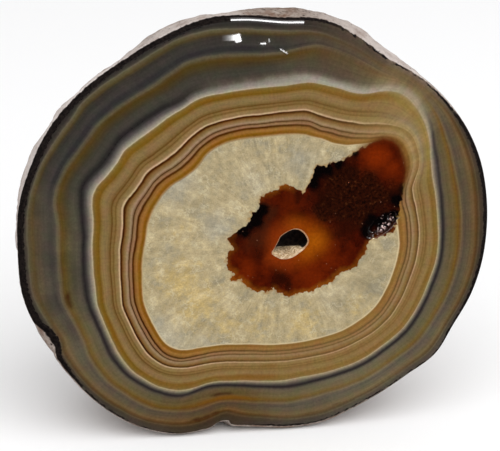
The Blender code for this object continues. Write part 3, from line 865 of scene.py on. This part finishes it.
class Paint:
    """Builds the nodes of one material."""

    def __init__(self, name):
        self.material = bpy.data.materials.new(name)
        self.material.use_nodes = True
        self.tree = self.material.node_tree
        self.shader = self.tree.nodes["Principled BSDF"]

    def node(self, kind, **settings):
        made = self.tree.nodes.new(kind)
        for name, value in settings.items():
            setattr(made, name, value)
        return made

    def put(self, socket, value):
        """Links a socket to another, or gives it a constant."""
        if isinstance(value, bpy.types.NodeSocket):
            self.tree.links.new(value, socket)
        else:
            socket.default_value = value

    def finish(self, name, value):
        self.put(self.shader.inputs[name], value)

    def read(self, name):
        return self.node("ShaderNodeAttribute", attribute_name=name).outputs["Fac"]

    def read_vector(self, name):
        return self.node("ShaderNodeAttribute", attribute_name=name).outputs["Vector"]

    def math(self, operation, first, second=0.0, clamp=False):
        made = self.node("ShaderNodeMath", operation=operation, use_clamp=clamp)
        self.put(made.inputs[0], first)
        self.put(made.inputs[1], second)
        return made.outputs[0]

    def add(self, first, second):
        return self.math("ADD", first, second)

    def times(self, first, second):
        return self.math("MULTIPLY", first, second)

    def both(self, first, *others):
        for other in others:
            first = self.times(first, other)
        return first

    def strongest(self, first, second):
        return self.math("MAXIMUM", first, second)

    def rise(self, value, low, high):
        """0 where a value is at low and 1 where it is at high, with a smooth change between them."""
        made = self.node("ShaderNodeMapRange", interpolation_type="SMOOTHSTEP")
        self.put(made.inputs["Value"], value)
        self.put(made.inputs["From Min"], low)
        self.put(made.inputs["From Max"], high)
        return made.outputs["Result"]

    def line(self, value, middle, half_width):
        """1 where a value is at the middle, falling to 0 at half_width from it."""
        away = self.math("ABSOLUTE", self.math("SUBTRACT", value, middle))
        return self.rise(away, half_width, 0.0)

    def mix(self, share, first, second, blend="MIX"):
        made = self.node("ShaderNodeMix", data_type="RGBA", blend_type=blend)
        self.put(made.inputs[0], share)
        self.put(made.inputs[6], first)
        self.put(made.inputs[7], second)
        return made.outputs[2]

    def over(self, colour, tone, share, strength=1.0):
        """A colour with a tone over it, by a share and by how strong it is there."""
        if strength != 1.0:
            share = self.times(share, strength)
        return self.mix(share, colour, screen(*tone))

    def shaded(self, colour, tone, depth):
        """A colour made darker and lighter by a tone around 0.5, by up to depth each way."""
        factor = self.node("ShaderNodeMapRange")
        self.put(factor.inputs["Value"], tone)
        limits = {"From Min": 0.3, "From Max": 0.7, "To Min": 1.0 - depth, "To Max": 1.0 + depth}
        for name, value in limits.items():
            factor.inputs[name].default_value = value
        made = self.node("ShaderNodeVectorMath", operation="SCALE")
        self.put(made.inputs[0], colour)
        self.put(made.inputs["Scale"], factor.outputs[0])
        return made.outputs[0]

    def ramp(self, value, stops):
        """A colour for each value, from (place, red, green, blue) stops in rising order."""
        made = self.node("ShaderNodeValToRGB")
        elements = made.color_ramp.elements
        elements.remove(elements[1])
        first, *others = stops
        elements[0].position, elements[0].color = first[0], screen(*first[1:])
        for place, *colour in others:
            elements.new(place).color = screen(*colour)
        self.put(made.inputs[0], value)
        return made.outputs[0]

    def scaled(self, vector, scale):
        made = self.node("ShaderNodeVectorMath", operation="MULTIPLY")
        self.put(made.inputs[0], vector)
        self.put(made.inputs[1], scale)
        return made.outputs[0]

    def noise(self, vector, size, detail=2.0, roughness=0.5, distortion=0.0):
        """Soft noise around 0.5, whose features are about as wide as the size."""
        made = self.node("ShaderNodeTexNoise")
        self.put(made.inputs["Vector"], vector)
        self.put(made.inputs["Scale"], 1.0 / size)
        self.put(made.inputs["Detail"], detail)
        self.put(made.inputs["Roughness"], roughness)
        self.put(made.inputs["Distortion"], distortion)
        return made.outputs["Fac"]

    def centred(self, texture, amount):
        """A texture around 0.5 as a small number around 0."""
        return self.times(self.math("SUBTRACT", texture, 0.5), amount)

    def uneven(self, amount, *settings):
        """Noise, by its own settings, as a small number around 0."""
        return self.centred(self.noise(*settings), amount)

    def patch(self, name, edges, low, high):
        """Where a mark of the mesh is strong, with an uneven edge."""
        return self.rise(self.add(self.read(name), edges), low, high)

    def cells(self, vector, size, output="Distance"):
        made = self.node("ShaderNodeTexVoronoi")
        self.put(made.inputs["Vector"], vector)
        self.put(made.inputs["Scale"], 1.0 / size)
        return made.outputs[output]

    def cell_tone(self, vector, size):
        """One random number from 0 to 1 for each cell."""
        colour = self.cells(vector, size, output="Color")
        split = self.node("ShaderNodeSeparateColor")
        self.put(split.inputs[0], colour)
        return split.outputs[0]

    def bump(self, height, distance, strength=1.0):
        made = self.node("ShaderNodeBump")
        self.put(made.inputs["Height"], height)
        self.put(made.inputs["Distance"], distance)
        self.put(made.inputs["Strength"], strength)
        return made.outputs["Normal"]


INNER_BANDS = (
    (0.0, 146, 110, 58), (0.02, 118, 78, 26), (0.05, 120, 77, 16), (0.09, 143, 100, 46),
    (0.125, 128, 88, 42), (0.15, 82, 44, 10), (0.163, 60, 26, 2), (0.178, 98, 64, 34), (0.20, 142, 107, 77),
    (0.232, 124, 92, 62), (0.255, 66, 37, 12), (0.272, 118, 90, 64), (0.30, 147, 122, 96),
    (0.345, 128, 102, 68), (0.39, 116, 83, 44), (0.425, 72, 36, 8), (0.444, 50, 20, 2),
    (0.458, 106, 74, 44), (0.47, 194, 164, 132), (0.484, 178, 150, 116), (0.505, 130, 105, 72),
    (0.56, 128, 104, 64), (0.592, 103, 75, 36), (0.608, 116, 90, 50), (0.632, 118, 92, 52),
    (0.655, 89, 61, 26), (0.675, 105, 80, 42), (0.71, 119, 95, 58), (0.77, 124, 101, 67),
)  # fmt: skip
INNER_OUTSIDE = (
    (0.77, 124, 101, 67), (0.82, 126, 101, 61), (0.85, 119, 92, 46), (0.875, 105, 76, 23),
    (0.905, 109, 79, 25), (0.94, 113, 86, 33), (0.965, 112, 88, 43), (0.985, 120, 100, 60),
    (1.0, 166, 149, 119),
)  # fmt: skip
OUTER_SLATE = (
    (0.0, 176, 165, 142), (0.02, 144, 135, 121), (0.05, 114, 108, 101), (0.08, 84, 79, 77),
    (0.12, 53, 49, 49), (0.15, 34, 31, 31), (0.18, 40, 37, 36), (0.21, 54, 51, 47), (0.25, 60, 57, 50),
    (0.30, 59, 56, 47), (0.345, 60, 52, 36), (0.385, 66, 53, 28), (0.42, 70, 53, 22), (0.445, 76, 60, 32),
    (0.468, 84, 74, 54), (0.49, 80, 74, 60), (0.51, 60, 58, 54), (0.54, 46, 44, 44), (0.58, 44, 42, 43),
    (0.62, 54, 51, 49), (0.67, 54, 51, 47), (0.72, 50, 47, 43), (0.76, 54, 48, 38), (0.79, 70, 58, 34),
    (0.82, 82, 72, 50), (0.84, 86, 76, 54), (0.855, 92, 86, 72), (0.87, 66, 60, 52), (0.89, 50, 46, 43),
    (0.94, 34, 30, 28), (1.0, 40, 36, 34),
)  # fmt: skip
OUTER_OCHRE = (
    (0.0, 166, 150, 118), (0.02, 144, 130, 104), (0.05, 116, 106, 91), (0.08, 87, 80, 69),
    (0.12, 52, 47, 46), (0.15, 38, 33, 34), (0.175, 57, 51, 47), (0.20, 82, 76, 64), (0.24, 92, 84, 66),
    (0.30, 90, 81, 57), (0.34, 98, 86, 59), (0.38, 100, 83, 48), (0.42, 100, 78, 34), (0.445, 94, 72, 38),
    (0.47, 98, 82, 54), (0.49, 102, 90, 68), (0.515, 88, 77, 64), (0.56, 77, 70, 61), (0.60, 83, 75, 63),
    (0.66, 87, 78, 62), (0.71, 94, 80, 56), (0.75, 100, 84, 58), (0.785, 90, 70, 42), (0.82, 76, 57, 34),
    (0.845, 76, 62, 43), (0.86, 82, 72, 55), (0.875, 68, 58, 48), (0.90, 62, 55, 48), (0.94, 64, 58, 54),
    (1.0, 72, 68, 64),
)  # fmt: skip
CLOUD = (
    (0.0, 156, 146, 130), (0.05, 148, 142, 132), (0.09, 138, 131, 121), (0.13, 120, 111, 100),
    (0.16, 100, 90, 79), (0.20, 78, 68, 59), (0.26, 72, 63, 55),
)  # fmt: skip
HAZE_BANDS = (  # by half the band number
    (0.0, 130, 94, 44), (0.07, 124, 88, 40), (0.10, 140, 108, 62), (0.15, 148, 124, 84),
    (0.22, 134, 108, 64), (0.27, 150, 130, 92), (0.31, 134, 118, 92), (0.36, 134, 112, 76),
    (0.44, 136, 114, 62), (0.48, 142, 122, 78), (0.50, 152, 136, 110), (0.55, 148, 134, 112),
    (0.60, 136, 120, 94), (0.66, 122, 104, 76), (0.74, 112, 93, 66), (0.84, 106, 86, 60),
    (0.93, 104, 86, 62), (0.98, 112, 98, 84), (1.0, 128, 114, 104),
)  # fmt: skip


def wavy_band(paint):
    """The band number, moved a little so that the lines wander."""
    place = paint.read_vector("place")
    shift = paint.add(paint.uneven(0.022, place, 5.0, 2.0), paint.uneven(0.01, place, 1.3))
    return paint.add(paint.read("band"), shift)


def streaks(paint, band, fineness, spread=0.14):
    """Noise drawn out along the bands, around 0.5."""
    ray = paint.scaled(paint.read_vector("ray"), (spread, spread, 0.0))
    across = paint.node("ShaderNodeCombineXYZ")
    paint.put(across.inputs[2], paint.times(band, fineness))
    joined = paint.node("ShaderNodeVectorMath", operation="ADD")
    paint.put(joined.inputs[0], ray)
    paint.put(joined.inputs[1], across.outputs[0])
    return paint.noise(joined.outputs[0], 1.0, 2.0)


def inner_colour(paint, band):
    """The bands from the quartz to the white line."""
    inner = paint.mix(
        paint.rise(band, 0.765, 0.775), paint.ramp(band, INNER_BANDS), paint.ramp(band, INNER_OUTSIDE)
    )
    for line, half_width in ((0.163, 0.02), (0.257, 0.016), (0.442, 0.026)):
        darker = paint.both(paint.line(band, line, half_width), paint.read("ochre"), 0.85)
        inner = paint.over(inner, (38, 14, 2), darker)
    return paint.over(inner, (134, 106, 64), paint.read("soft"))


def outer_colour(paint, band):
    """The bands from the white line to the rim: slate or ochre, with a white cloud and a stretch of umber."""
    outward = paint.math("SUBTRACT", band, 1.0)
    patchy = paint.uneven(0.5, paint.read_vector("place"), 9.0, 2.0)
    ochre_share = paint.patch("ochre", patchy, 0.02, 0.98)
    outer = paint.mix(ochre_share, paint.ramp(outward, OUTER_SLATE), paint.ramp(outward, OUTER_OCHRE))
    beyond = paint.rise(outward, 0.14, 0.24)
    red_share = paint.both(paint.read("red"), beyond, 0.9)
    outer = paint.mix(red_share, outer, paint.mix(1.0, outer, screen(250, 222, 188), "MULTIPLY"))
    light_share = paint.both(paint.patch("light", patchy, 0.3, 1.0), beyond, 0.1)
    outer = paint.over(outer, (176, 166, 140), light_share)
    cloud_end = paint.add(outward, paint.centred(streaks(paint, band, 6.0, 0.6), 0.06))
    cloudy = paint.rise(cloud_end, 0.26, 0.19)
    outer = paint.mix(paint.times(paint.read("cloud"), cloudy), outer, paint.ramp(cloud_end, CLOUD))
    umber = paint.both(paint.read("umber"), beyond, 0.65)
    return paint.over(outer, (80, 67, 54), umber)


def with_haze(paint, colour, band):
    """The hazy column at the upper right."""
    ray = paint.read_vector("ray")
    column_edges = paint.uneven(0.4, paint.scaled(ray, (1.0, 1.0, 0.06)), 2.4, 3.0, 0.5)
    haze = paint.patch("haze", column_edges, 0.0, 1.0)
    haze_tone = paint.ramp(paint.times(band, 0.5), HAZE_BANDS)
    column_tone = paint.noise(paint.scaled(ray, (1.0, 1.0, 0.04)), 0.9, 2.0)
    return paint.mix(paint.times(haze, 0.85), colour, paint.shaded(haze_tone, column_tone, 0.12))


def with_grain(paint, colour, band):
    """Fine lines along the bands, fibres across them, grain and a slight change of hue."""
    place = paint.read_vector("place")
    thin = streaks(paint, band, 42.0)
    broad = streaks(paint, band, 13.0)
    lines = paint.add(paint.times(thin, 0.55), paint.times(broad, 0.45))
    colour = paint.shaded(colour, lines, 0.13)
    fibres = paint.noise(paint.scaled(paint.read_vector("ray"), (1.0, 1.0, 0.07)), 0.6, 4.0, 0.6)
    colour = paint.shaded(colour, fibres, 0.06)
    grain = paint.noise(place, 0.8, 4.0, 0.6)
    colour = paint.shaded(colour, grain, 0.12)
    hue = paint.noise(place, 4.0, 2.0)
    tint = paint.ramp(hue, ((0.35, 255, 246, 248), (0.65, 246, 255, 244)))
    return paint.mix(1.0, colour, tint, "MULTIPLY")


def banded_colour(paint, band):
    """The colour of the bands outside the quartz."""
    beyond_white = paint.rise(band, 0.998, 1.002)
    colour = paint.mix(beyond_white, inner_colour(paint, band), outer_colour(paint, band))
    colour = with_grain(paint, with_haze(paint, colour, band), band)
    stain_noise = paint.uneven(0.8, paint.read_vector("place"), 2.2, 3.0)
    brown = paint.patch("brown_stain", stain_noise, 0.3, 1.1)
    colour = paint.over(colour, (52, 26, 12), brown, 0.85)
    orange = paint.patch("orange_stain", stain_noise, 0.2, 1.1)
    return paint.over(colour, (112, 68, 12), orange, 0.5)


def quartz_colour(paint, band):
    """Cream and grey quartz in soft clouds, faintly drawn out towards the dark middle."""
    place = paint.read_vector("place")
    ray = paint.read_vector("ray")
    clouds = paint.noise(place, 7.0, 5.0, 0.55)
    colour = paint.ramp(
        clouds,
        ((0.36, 150, 140, 115), (0.46, 161, 147, 114), (0.54, 168, 152, 117), (0.66, 184, 169, 134)),
    )  # fmt: skip
    blue = paint.patch("blue", paint.uneven(1.2, place, 5.0, 4.0, 0.6), 0.1, 1.2)
    colour = paint.over(colour, (160, 155, 139), blue, 0.7)
    patchy = paint.uneven(2.0, place, 2.4, 5.0, 0.62)
    yellow = paint.patch("yellow", patchy, 0.3, 1.3)
    colour = paint.over(colour, (184, 158, 98), yellow, 0.72)
    folds = paint.noise(paint.scaled(ray, (1.0, 1.0, 0.3)), 2.4, 4.0, 0.6, distortion=0.5)
    colour = paint.shaded(colour, folds, 0.17)
    fibres = paint.noise(paint.scaled(ray, (1.0, 1.0, 0.2)), 0.9, 3.0, 0.55, distortion=0.7)
    colour = paint.shaded(colour, fibres, 0.09)
    colour = paint.shaded(colour, paint.noise(place, 1.5, 4.0, 0.65), 0.13)
    colour = paint.shaded(colour, paint.noise(place, 0.5, 3.0, 0.65), 0.17)
    veins = paint.rise(paint.math("ABSOLUTE", paint.uneven(1.0, place, 4.4, 4.0, 0.6)), 0.03, 0.0)
    some = paint.rise(paint.noise(place, 6.0, 2.0), 0.42, 0.62)
    colour = paint.over(colour, (206, 196, 166), paint.both(veins, some, 0.42))
    spots = paint.rise(paint.noise(place, 3.4, 3.0, 0.5), 0.36, 0.26)
    colour = paint.over(colour, (122, 116, 98), spots, 0.45)
    dim = paint.patch("dim", paint.uneven(0.8, place, 2.0, 3.0), 0.2, 1.0)
    colour = paint.over(colour, (112, 106, 88), dim, 0.4)
    fringe = paint.rise(band, -0.07, -0.01)
    fringe_colour = paint.mix(paint.read("ochre"), screen(130, 96, 50), screen(204, 184, 144))
    colour = paint.mix(paint.times(fringe, 0.8), colour, fringe_colour)
    return paint.over(colour, (140, 112, 66), paint.read("blur"))


def lake_colour(paint):
    """The dark middle: red-brown, with a painted orange glow near the hollow standing in for light through
    the stone, black in patches and mottled at the right.
    """
    place = paint.read_vector("place")
    clouds = paint.noise(place, 5.0, 4.0, 0.6)
    fine = paint.noise(place, 0.9, 4.0, 0.65)
    soft_edges = paint.centred(clouds, 0.6)
    ragged = paint.add(paint.centred(clouds, 0.5), paint.uneven(0.7, place, 1.8, 4.0, 0.65))

    colour = paint.ramp(clouds, ((0.36, 48, 8, 1), (0.5, 62, 13, 2), (0.64, 78, 20, 3)))
    colour = paint.over(colour, (98, 29, 3), paint.patch("warm", soft_edges, 0.0, 1.1), 0.9)
    colour = paint.over(colour, (56, 22, 8), paint.patch("smoke", soft_edges, 0.0, 1.0), 0.9)
    dots = paint.add(paint.times(fine, 0.5), paint.times(paint.noise(place, 1.7, 5.0, 0.7), 0.5))
    mottled = paint.ramp(
        dots, ((0.38, 12, 3, 1), (0.50, 34, 9, 3), (0.58, 46, 17, 5), (0.68, 74, 46, 22))
    )
    colour = paint.mix(paint.patch("mottle", soft_edges, 0.05, 0.8), colour, mottled)
    colour = paint.over(colour, (30, 7, 2), paint.patch("deep", soft_edges, 0.0, 1.1), 0.85)
    colour = paint.over(colour, (112, 35, 3), paint.patch("ember", paint.centred(clouds, 0.3), 0.0, 1.1))
    burnt = paint.times(paint.rise(paint.read("lake"), 1.8, -0.6), paint.read("blur"))
    colour = paint.over(colour, (78, 30, 8), burnt, 0.75)
    # Painted glow: orange around the hollow, as if the stone were lit through from it
    near_right = paint.rise(paint.read("right"), 0.0, 1.0)
    painted_glow_colour = paint.mix(near_right, screen(120, 44, 8), screen(128, 54, 4))
    colour = paint.mix(paint.times(paint.read("painted_hollow_glow"), 0.92), colour, painted_glow_colour)
    colour = paint.over(colour, (144, 73, 6), paint.read("painted_glow_spots"))
    from_edge = paint.add(paint.read("lake"), paint.uneven(2.4, place, 2.4, 3.0))
    thin = paint.times(paint.read("thin"), paint.rise(from_edge, 2.0, -0.4))
    colour = paint.over(colour, (138, 78, 20), thin, 0.7)
    colour = paint.shaded(colour, fine, 0.2)
    colour = paint.over(colour, (5, 2, 2), paint.patch("black", ragged, 0.26, 0.85))
    speck_tone = paint.cell_tone(place, 1.5)
    specks = paint.both(paint.rise(paint.cells(place, 1.5), 0.12, 0.05), paint.rise(speck_tone, 0.84, 0.86))
    return paint.over(colour, (150, 108, 84), specks, 0.7)


def skin_colour(paint):
    """The nodule's rough outside: greyish pink and beige, with brown patches and dark specks."""
    place = paint.read_vector("place")
    clouds = paint.noise(place, 12.0, 4.0, 0.6)
    fine = paint.noise(place, 1.8, 4.0, 0.65)
    colour = paint.ramp(
        paint.add(paint.times(clouds, 0.45), paint.times(fine, 0.55)),
        (
            (0.32, 66, 50, 40), (0.42, 108, 92, 80), (0.52, 142, 127, 116),
            (0.62, 168, 156, 147), (0.74, 190, 182, 174),
        ),
    )  # fmt: skip
    pale = paint.times(paint.read("pale_skin"), paint.rise(paint.read("edge"), -24.0, -8.0))
    colour = paint.over(colour, (220, 210, 205), pale, 0.85)
    not_pale = paint.math("SUBTRACT", 1.0, paint.times(pale, 0.8))
    brown = paint.rise(paint.noise(place, 6.0, 3.0), 0.46, 0.7)
    colour = paint.over(colour, (104, 70, 50), paint.both(brown, not_pale, 0.85))
    pits = paint.rise(paint.noise(place, 0.9, 2.0), 0.36, 0.28)
    return paint.over(colour, (46, 36, 32), paint.times(pits, paint.add(0.2, not_pale)))


def with_lake(paint, face):
    """The dark middle, whose edge is toothed against the quartz and blurred against the bands."""
    place = paint.read_vector("place")
    flat = paint.scaled(place, (1.0, 1.0, 0.0))
    teeth = paint.times(paint.math("SUBTRACT", paint.cells(flat, 1.5), 0.4), 1.5 * 0.85)
    finer = paint.times(paint.math("SUBTRACT", paint.cells(flat, 0.8), 0.4), 0.8 * 0.5)
    inside = paint.add(paint.read("lake"), paint.add(teeth, finer))
    fringe_patches = paint.rise(paint.noise(place, 5.0, 2.0), 0.42, 0.6)
    fringe = paint.both(paint.rise(inside, -0.8, -0.1), fringe_patches, 0.6)
    face = paint.over(face, (150, 112, 62), fringe)
    soft_edge = paint.rise(paint.read("lake"), -2.6, 0.5)
    sharp_edge = paint.rise(inside, -0.13, 0.13)
    lake_share = paint.mix(paint.read("blur"), sharp_edge, soft_edge)
    return paint.mix(lake_share, face, lake_colour(paint))


def with_edge(paint, face):
    """The patches of black rim, and the rough skin behind the lip."""
    place = paint.read_vector("place")
    edge = paint.read("edge")
    lip_dark = paint.read("lip_dark")
    ragged = paint.uneven(2.2, place, 1.5, 4.0, 0.65)
    ray = paint.scaled(paint.read_vector("ray"), (1.0, 1.0, 0.1))
    spikes = paint.uneven(1.6, ray, 0.7, 3.0, 0.6)
    rim_black = paint.read("rim_black")
    from_black = paint.math("SUBTRACT", paint.add(edge, ragged), paint.times(rim_black, 2.1))
    patches = paint.add(paint.noise(place, 2.4, 3.0), paint.times(rim_black, 0.5))
    black = paint.both(paint.rise(from_black, 0.3, -0.15), paint.rise(patches, 0.56, 0.68))
    black = paint.strongest(black, paint.times(lip_dark, paint.rise(edge, 0.2, -0.2)))
    rim_tone = paint.ramp(paint.noise(place, 0.8, 3.0, 0.6), ((0.35, 12, 9, 9), (0.65, 32, 26, 24)))
    face = paint.mix(black, face, rim_tone)

    skin_edge = paint.add(edge, paint.times(lip_dark, 1.4))
    to_skin = paint.rise(paint.add(skin_edge, paint.add(spikes, paint.times(ragged, 0.3))), 0.15, -0.35)
    return paint.mix(to_skin, face, skin_colour(paint))


def stone_material(name, gloss, polished):
    """Bands, quartz and dark middle on the face, and rough skin behind the edge."""
    paint = Paint(name)
    place = paint.read_vector("place")
    band = wavy_band(paint)
    in_quartz = paint.rise(band, 0.014, -0.024)
    face = paint.mix(in_quartz, banded_colour(paint, band), quartz_colour(paint, band))
    colour = with_edge(paint, with_lake(paint, face))
    ground = paint.rise(paint.read("ground"), 0.5, 0.9)
    paint.finish("Base Color", paint.over(colour, (120, 108, 90), ground))
    paint.finish("Specular IOR Level", gloss)

    scuffs = paint.noise(place, 3.0, 3.0)
    if polished:
        paint.finish("Roughness", paint.ramp(scuffs, ((0.3, 20, 20, 20), (0.7, 32, 32, 32))))
    else:
        paint.finish("Roughness", paint.ramp(scuffs, ((0.3, 215, 215, 215), (0.7, 245, 245, 245))))
        coarse = paint.noise(place, 1.1, 4.0, 0.65)
        paint.finish("Normal", paint.bump(coarse, 0.0006, 0.8))
    return paint.material


def cavity_material():
    """The dark inside of the hollow behind the crust."""
    paint = Paint("dark_cavity")
    coordinates = paint.node("ShaderNodeTexCoord").outputs["Object"]
    grain = paint.noise(coordinates, 0.0012, 3.0)
    paint.finish("Base Color", paint.ramp(grain, ((0.3, 44, 32, 28), (0.7, 116, 90, 80))))
    paint.finish("Roughness", 0.6)
    paint.finish("Normal", paint.bump(grain, 0.0005, 0.6))
    return paint.material


def cream_material():
    """Cream druse with small bright and pinkish grains, painted dark brown as shade where the hollow's sides
    go in.
    """
    paint = Paint("cream_crystals")
    coordinates = paint.node("ShaderNodeTexCoord").outputs["Object"]
    tones = paint.cell_tone(coordinates, 0.0006)
    fine = paint.noise(coordinates, 0.0005, 3.0)
    mixed = paint.add(paint.times(tones, 0.5), paint.times(fine, 0.5))
    colour = paint.ramp(
        mixed, ((0.2, 150, 118, 82), (0.45, 196, 168, 130), (0.7, 224, 200, 164), (0.9, 250, 232, 204))
    )
    colour = paint.over(colour, (160, 106, 62), paint.read("lip"), 0.8)
    # Painted shade: dark brown wherever the crust is not marked pale, on the hollow's deeper sides and top
    colour = paint.mix(paint.rise(paint.read("pale"), 0.3, 0.7), screen(30, 24, 21), colour)
    paint.finish("Base Color", colour)
    paint.finish("Roughness", 0.42)
    paint.finish("Normal", paint.bump(fine, 0.0002, 0.5))
    return paint.material


def rosy_material():
    """Small glossy quartz points, from pinkish white to brown."""
    paint = Paint("rosy_crystals")
    coordinates = paint.node("ShaderNodeTexCoord").outputs["Object"]
    tones = paint.cell_tone(coordinates, 0.0009)
    stops = ((0.1, 16, 7, 6), (0.55, 54, 28, 24), (0.72, 190, 150, 144), (0.92, 240, 218, 214))
    paint.finish("Base Color", paint.ramp(tones, stops))
    paint.finish("Roughness", 0.26)
    return paint.material


# Pieces


def show(name, mesh, materials, replaces):
    made = bpy.data.objects.new(name, mesh)
    bpy.context.scene.collection.objects.link(made)
    for material in materials:
        mesh.materials.append(material)
    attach(made, "root")
    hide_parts(replaces)


def finished(name, built):
    mesh = bpy.data.meshes.new(name)
    built.to_mesh(mesh)
    built.free()
    return mesh


def make_stone():
    rings = stone_rings()
    mesh = stone_mesh(rings)
    mark_sharp(mesh, WALL_RINGS * len(rings.angles), len(rings.angles))
    materials = (
        stone_material("banded_agate", 0.5, True),
        cavity_material(),
        stone_material("rough_agate", 0.02, False),
    )
    show("agate_stone", mesh, materials, "agate")
    part_faces(mesh, rings)


def make_crystals():
    show("hollow_druse", crust_mesh(), [cream_material()], "hollow_crust")
    points = finished("pocket_points", pocket_crystals_mesh())
    show("pocket_points", points, [rosy_material()], "pocket_crystals")


# Floor, light and camera


def direction(azimuth, elevation):
    """From the object towards a camera or light, with azimuth 0 in front."""
    flat = math.cos(elevation)
    return Vector((math.sin(azimuth) * flat, -math.cos(azimuth) * flat, math.sin(elevation)))


def make_floor():
    half = 25.0
    corners = [(-half, -half, -0.0003), (half, -half, -0.0003), (half, half, -0.0003), (-half, half, -0.0003)]
    mesh = bpy.data.meshes.new("floor")
    mesh.from_pydata(corners, [], [(0, 1, 2, 3)])
    floor = bpy.data.objects.new("floor", mesh)
    bpy.context.scene.collection.objects.link(floor)
    paint = Paint("pale_floor")
    paint.finish("Base Color", (0.93, 0.93, 0.935, 1.0))
    paint.finish("Roughness", 0.9)
    paint.shader.inputs["Specular IOR Level"].default_value = 0.1
    mesh.materials.append(paint.material)
    floor.visible_glossy = False


def make_world():
    """Bright soft sky, dark at and below the horizon so that the polish stays deep."""
    world = bpy.data.worlds.new("studio")
    bpy.context.scene.world = world
    world.use_nodes = True
    nodes, links = world.node_tree.nodes, world.node_tree.links
    split = nodes.new("ShaderNodeSeparateXYZ")
    links.new(nodes.new("ShaderNodeTexCoord").outputs["Generated"], split.inputs[0])
    ramp = nodes.new("ShaderNodeValToRGB")
    ramp.color_ramp.elements[0].position = 0.02
    ramp.color_ramp.elements[0].color = (0.02, 0.02, 0.02, 1.0)
    ramp.color_ramp.elements[1].position = 0.16
    ramp.color_ramp.elements[1].color = (1.0, 1.0, 1.0, 1.0)
    links.new(split.outputs[2], ramp.inputs[0])
    background = nodes["Background"]
    links.new(ramp.outputs[0], background.inputs[0])
    background.inputs[1].default_value = 0.75


def add_light(name, place, aim, size, power, diffuse=True, roll=0.0):
    data = bpy.data.lights.new(name, "AREA")
    data.shape = "RECTANGLE"
    data.size, data.size_y = size
    data.energy = power
    light = bpy.data.objects.new(name, data)
    bpy.context.scene.collection.objects.link(light)
    light.location = place
    facing = (Vector(aim) - Vector(place)).to_track_quat("-Z", "Y")
    light.rotation_euler = (facing @ Quaternion((0.0, 0.0, 1.0), math.radians(roll))).to_euler()
    light.visible_diffuse = diffuse
    light.visible_camera = False


def make_lights():
    middle = Vector((0.0, 0.0, 0.06))
    above = middle + direction(math.radians(14.0), math.radians(54.0)) * 1.4
    add_light("soft_box", above, middle, (2.0, 1.7), 16.8)
    spot, out = lip_spot(*LIP_LIGHT)
    add_light("lip_light", mirrored_place(spot, out, 1.1), spot, (0.36, 0.45), 14.5, diffuse=False)
    face_out = to_direction((0.0, 0.0, -1.0))
    glints = list(GLINTS)
    for number, power in enumerate(FADE_POWERS):
        on_face = (FADE_START[0] - FADE_STEP * number, FADE_START[1])
        glints.append((f"glint_fade_{number}", on_face, FADE_STRIP, power, 0.0))
    for name, on_face, size, power, roll in glints:
        spot = Vector(to_part((*on_face, 0.0)))
        add_light(name, mirrored_place(spot, face_out, 1.2), spot, size, power, diffuse=False, roll=roll)


def to_direction(vector):
    """A direction of the face frame in the part's frame."""
    return (Vector(to_part(vector)) - Vector(to_part((0.0, 0.0, 0.0)))).normalized()


def lip_spot(angle, turn):
    """A point of the rounded lip and the way out of the stone there."""
    ends = np.array((angle - 4.0, angle + 4.0))
    before, after = polar(rim_radius(ends), ends, LIP / 2.0)
    along = after - before
    outward = Vector((along[1], -along[0], 0.0)).normalized()
    turned = math.radians(turn)
    out = outward * math.sin(turned) + Vector((0.0, 0.0, -math.cos(turned)))
    return Vector(to_part((before + after) / 2.0)), to_direction(out)


def mirrored_place(spot, out, away):
    """Where a light stands, so that the camera sees it mirrored at a spot whose surface faces out."""
    seen_from = camera_place()
    mirrored = seen_from - 2.0 * (seen_from - spot).dot(out) * out
    return spot + (spot - mirrored).normalized() * away


def camera_place():
    return Vector(to_part(LOOK_AT)) + direction(CAMERA_AZIMUTH, CAMERA_ELEVATION) * CAMERA_DISTANCE * MM


def make_camera():
    data = bpy.data.cameras.new("camera")
    data.lens = CAMERA_LENS
    data.sensor_width = CAMERA_SENSOR
    camera = bpy.data.objects.new("camera", data)
    bpy.context.scene.collection.objects.link(camera)
    camera.location = camera_place()
    towards = -direction(CAMERA_AZIMUTH, CAMERA_ELEVATION)
    camera.rotation_euler = towards.to_track_quat("-Z", "Y").to_euler()
    bpy.context.scene.camera = camera


def main():
    bpy.context.scene.view_settings.view_transform = "Standard"
    make_camera()
    make_floor()
    make_world()
    make_lights()
    make_stone()
    make_crystals()


main()
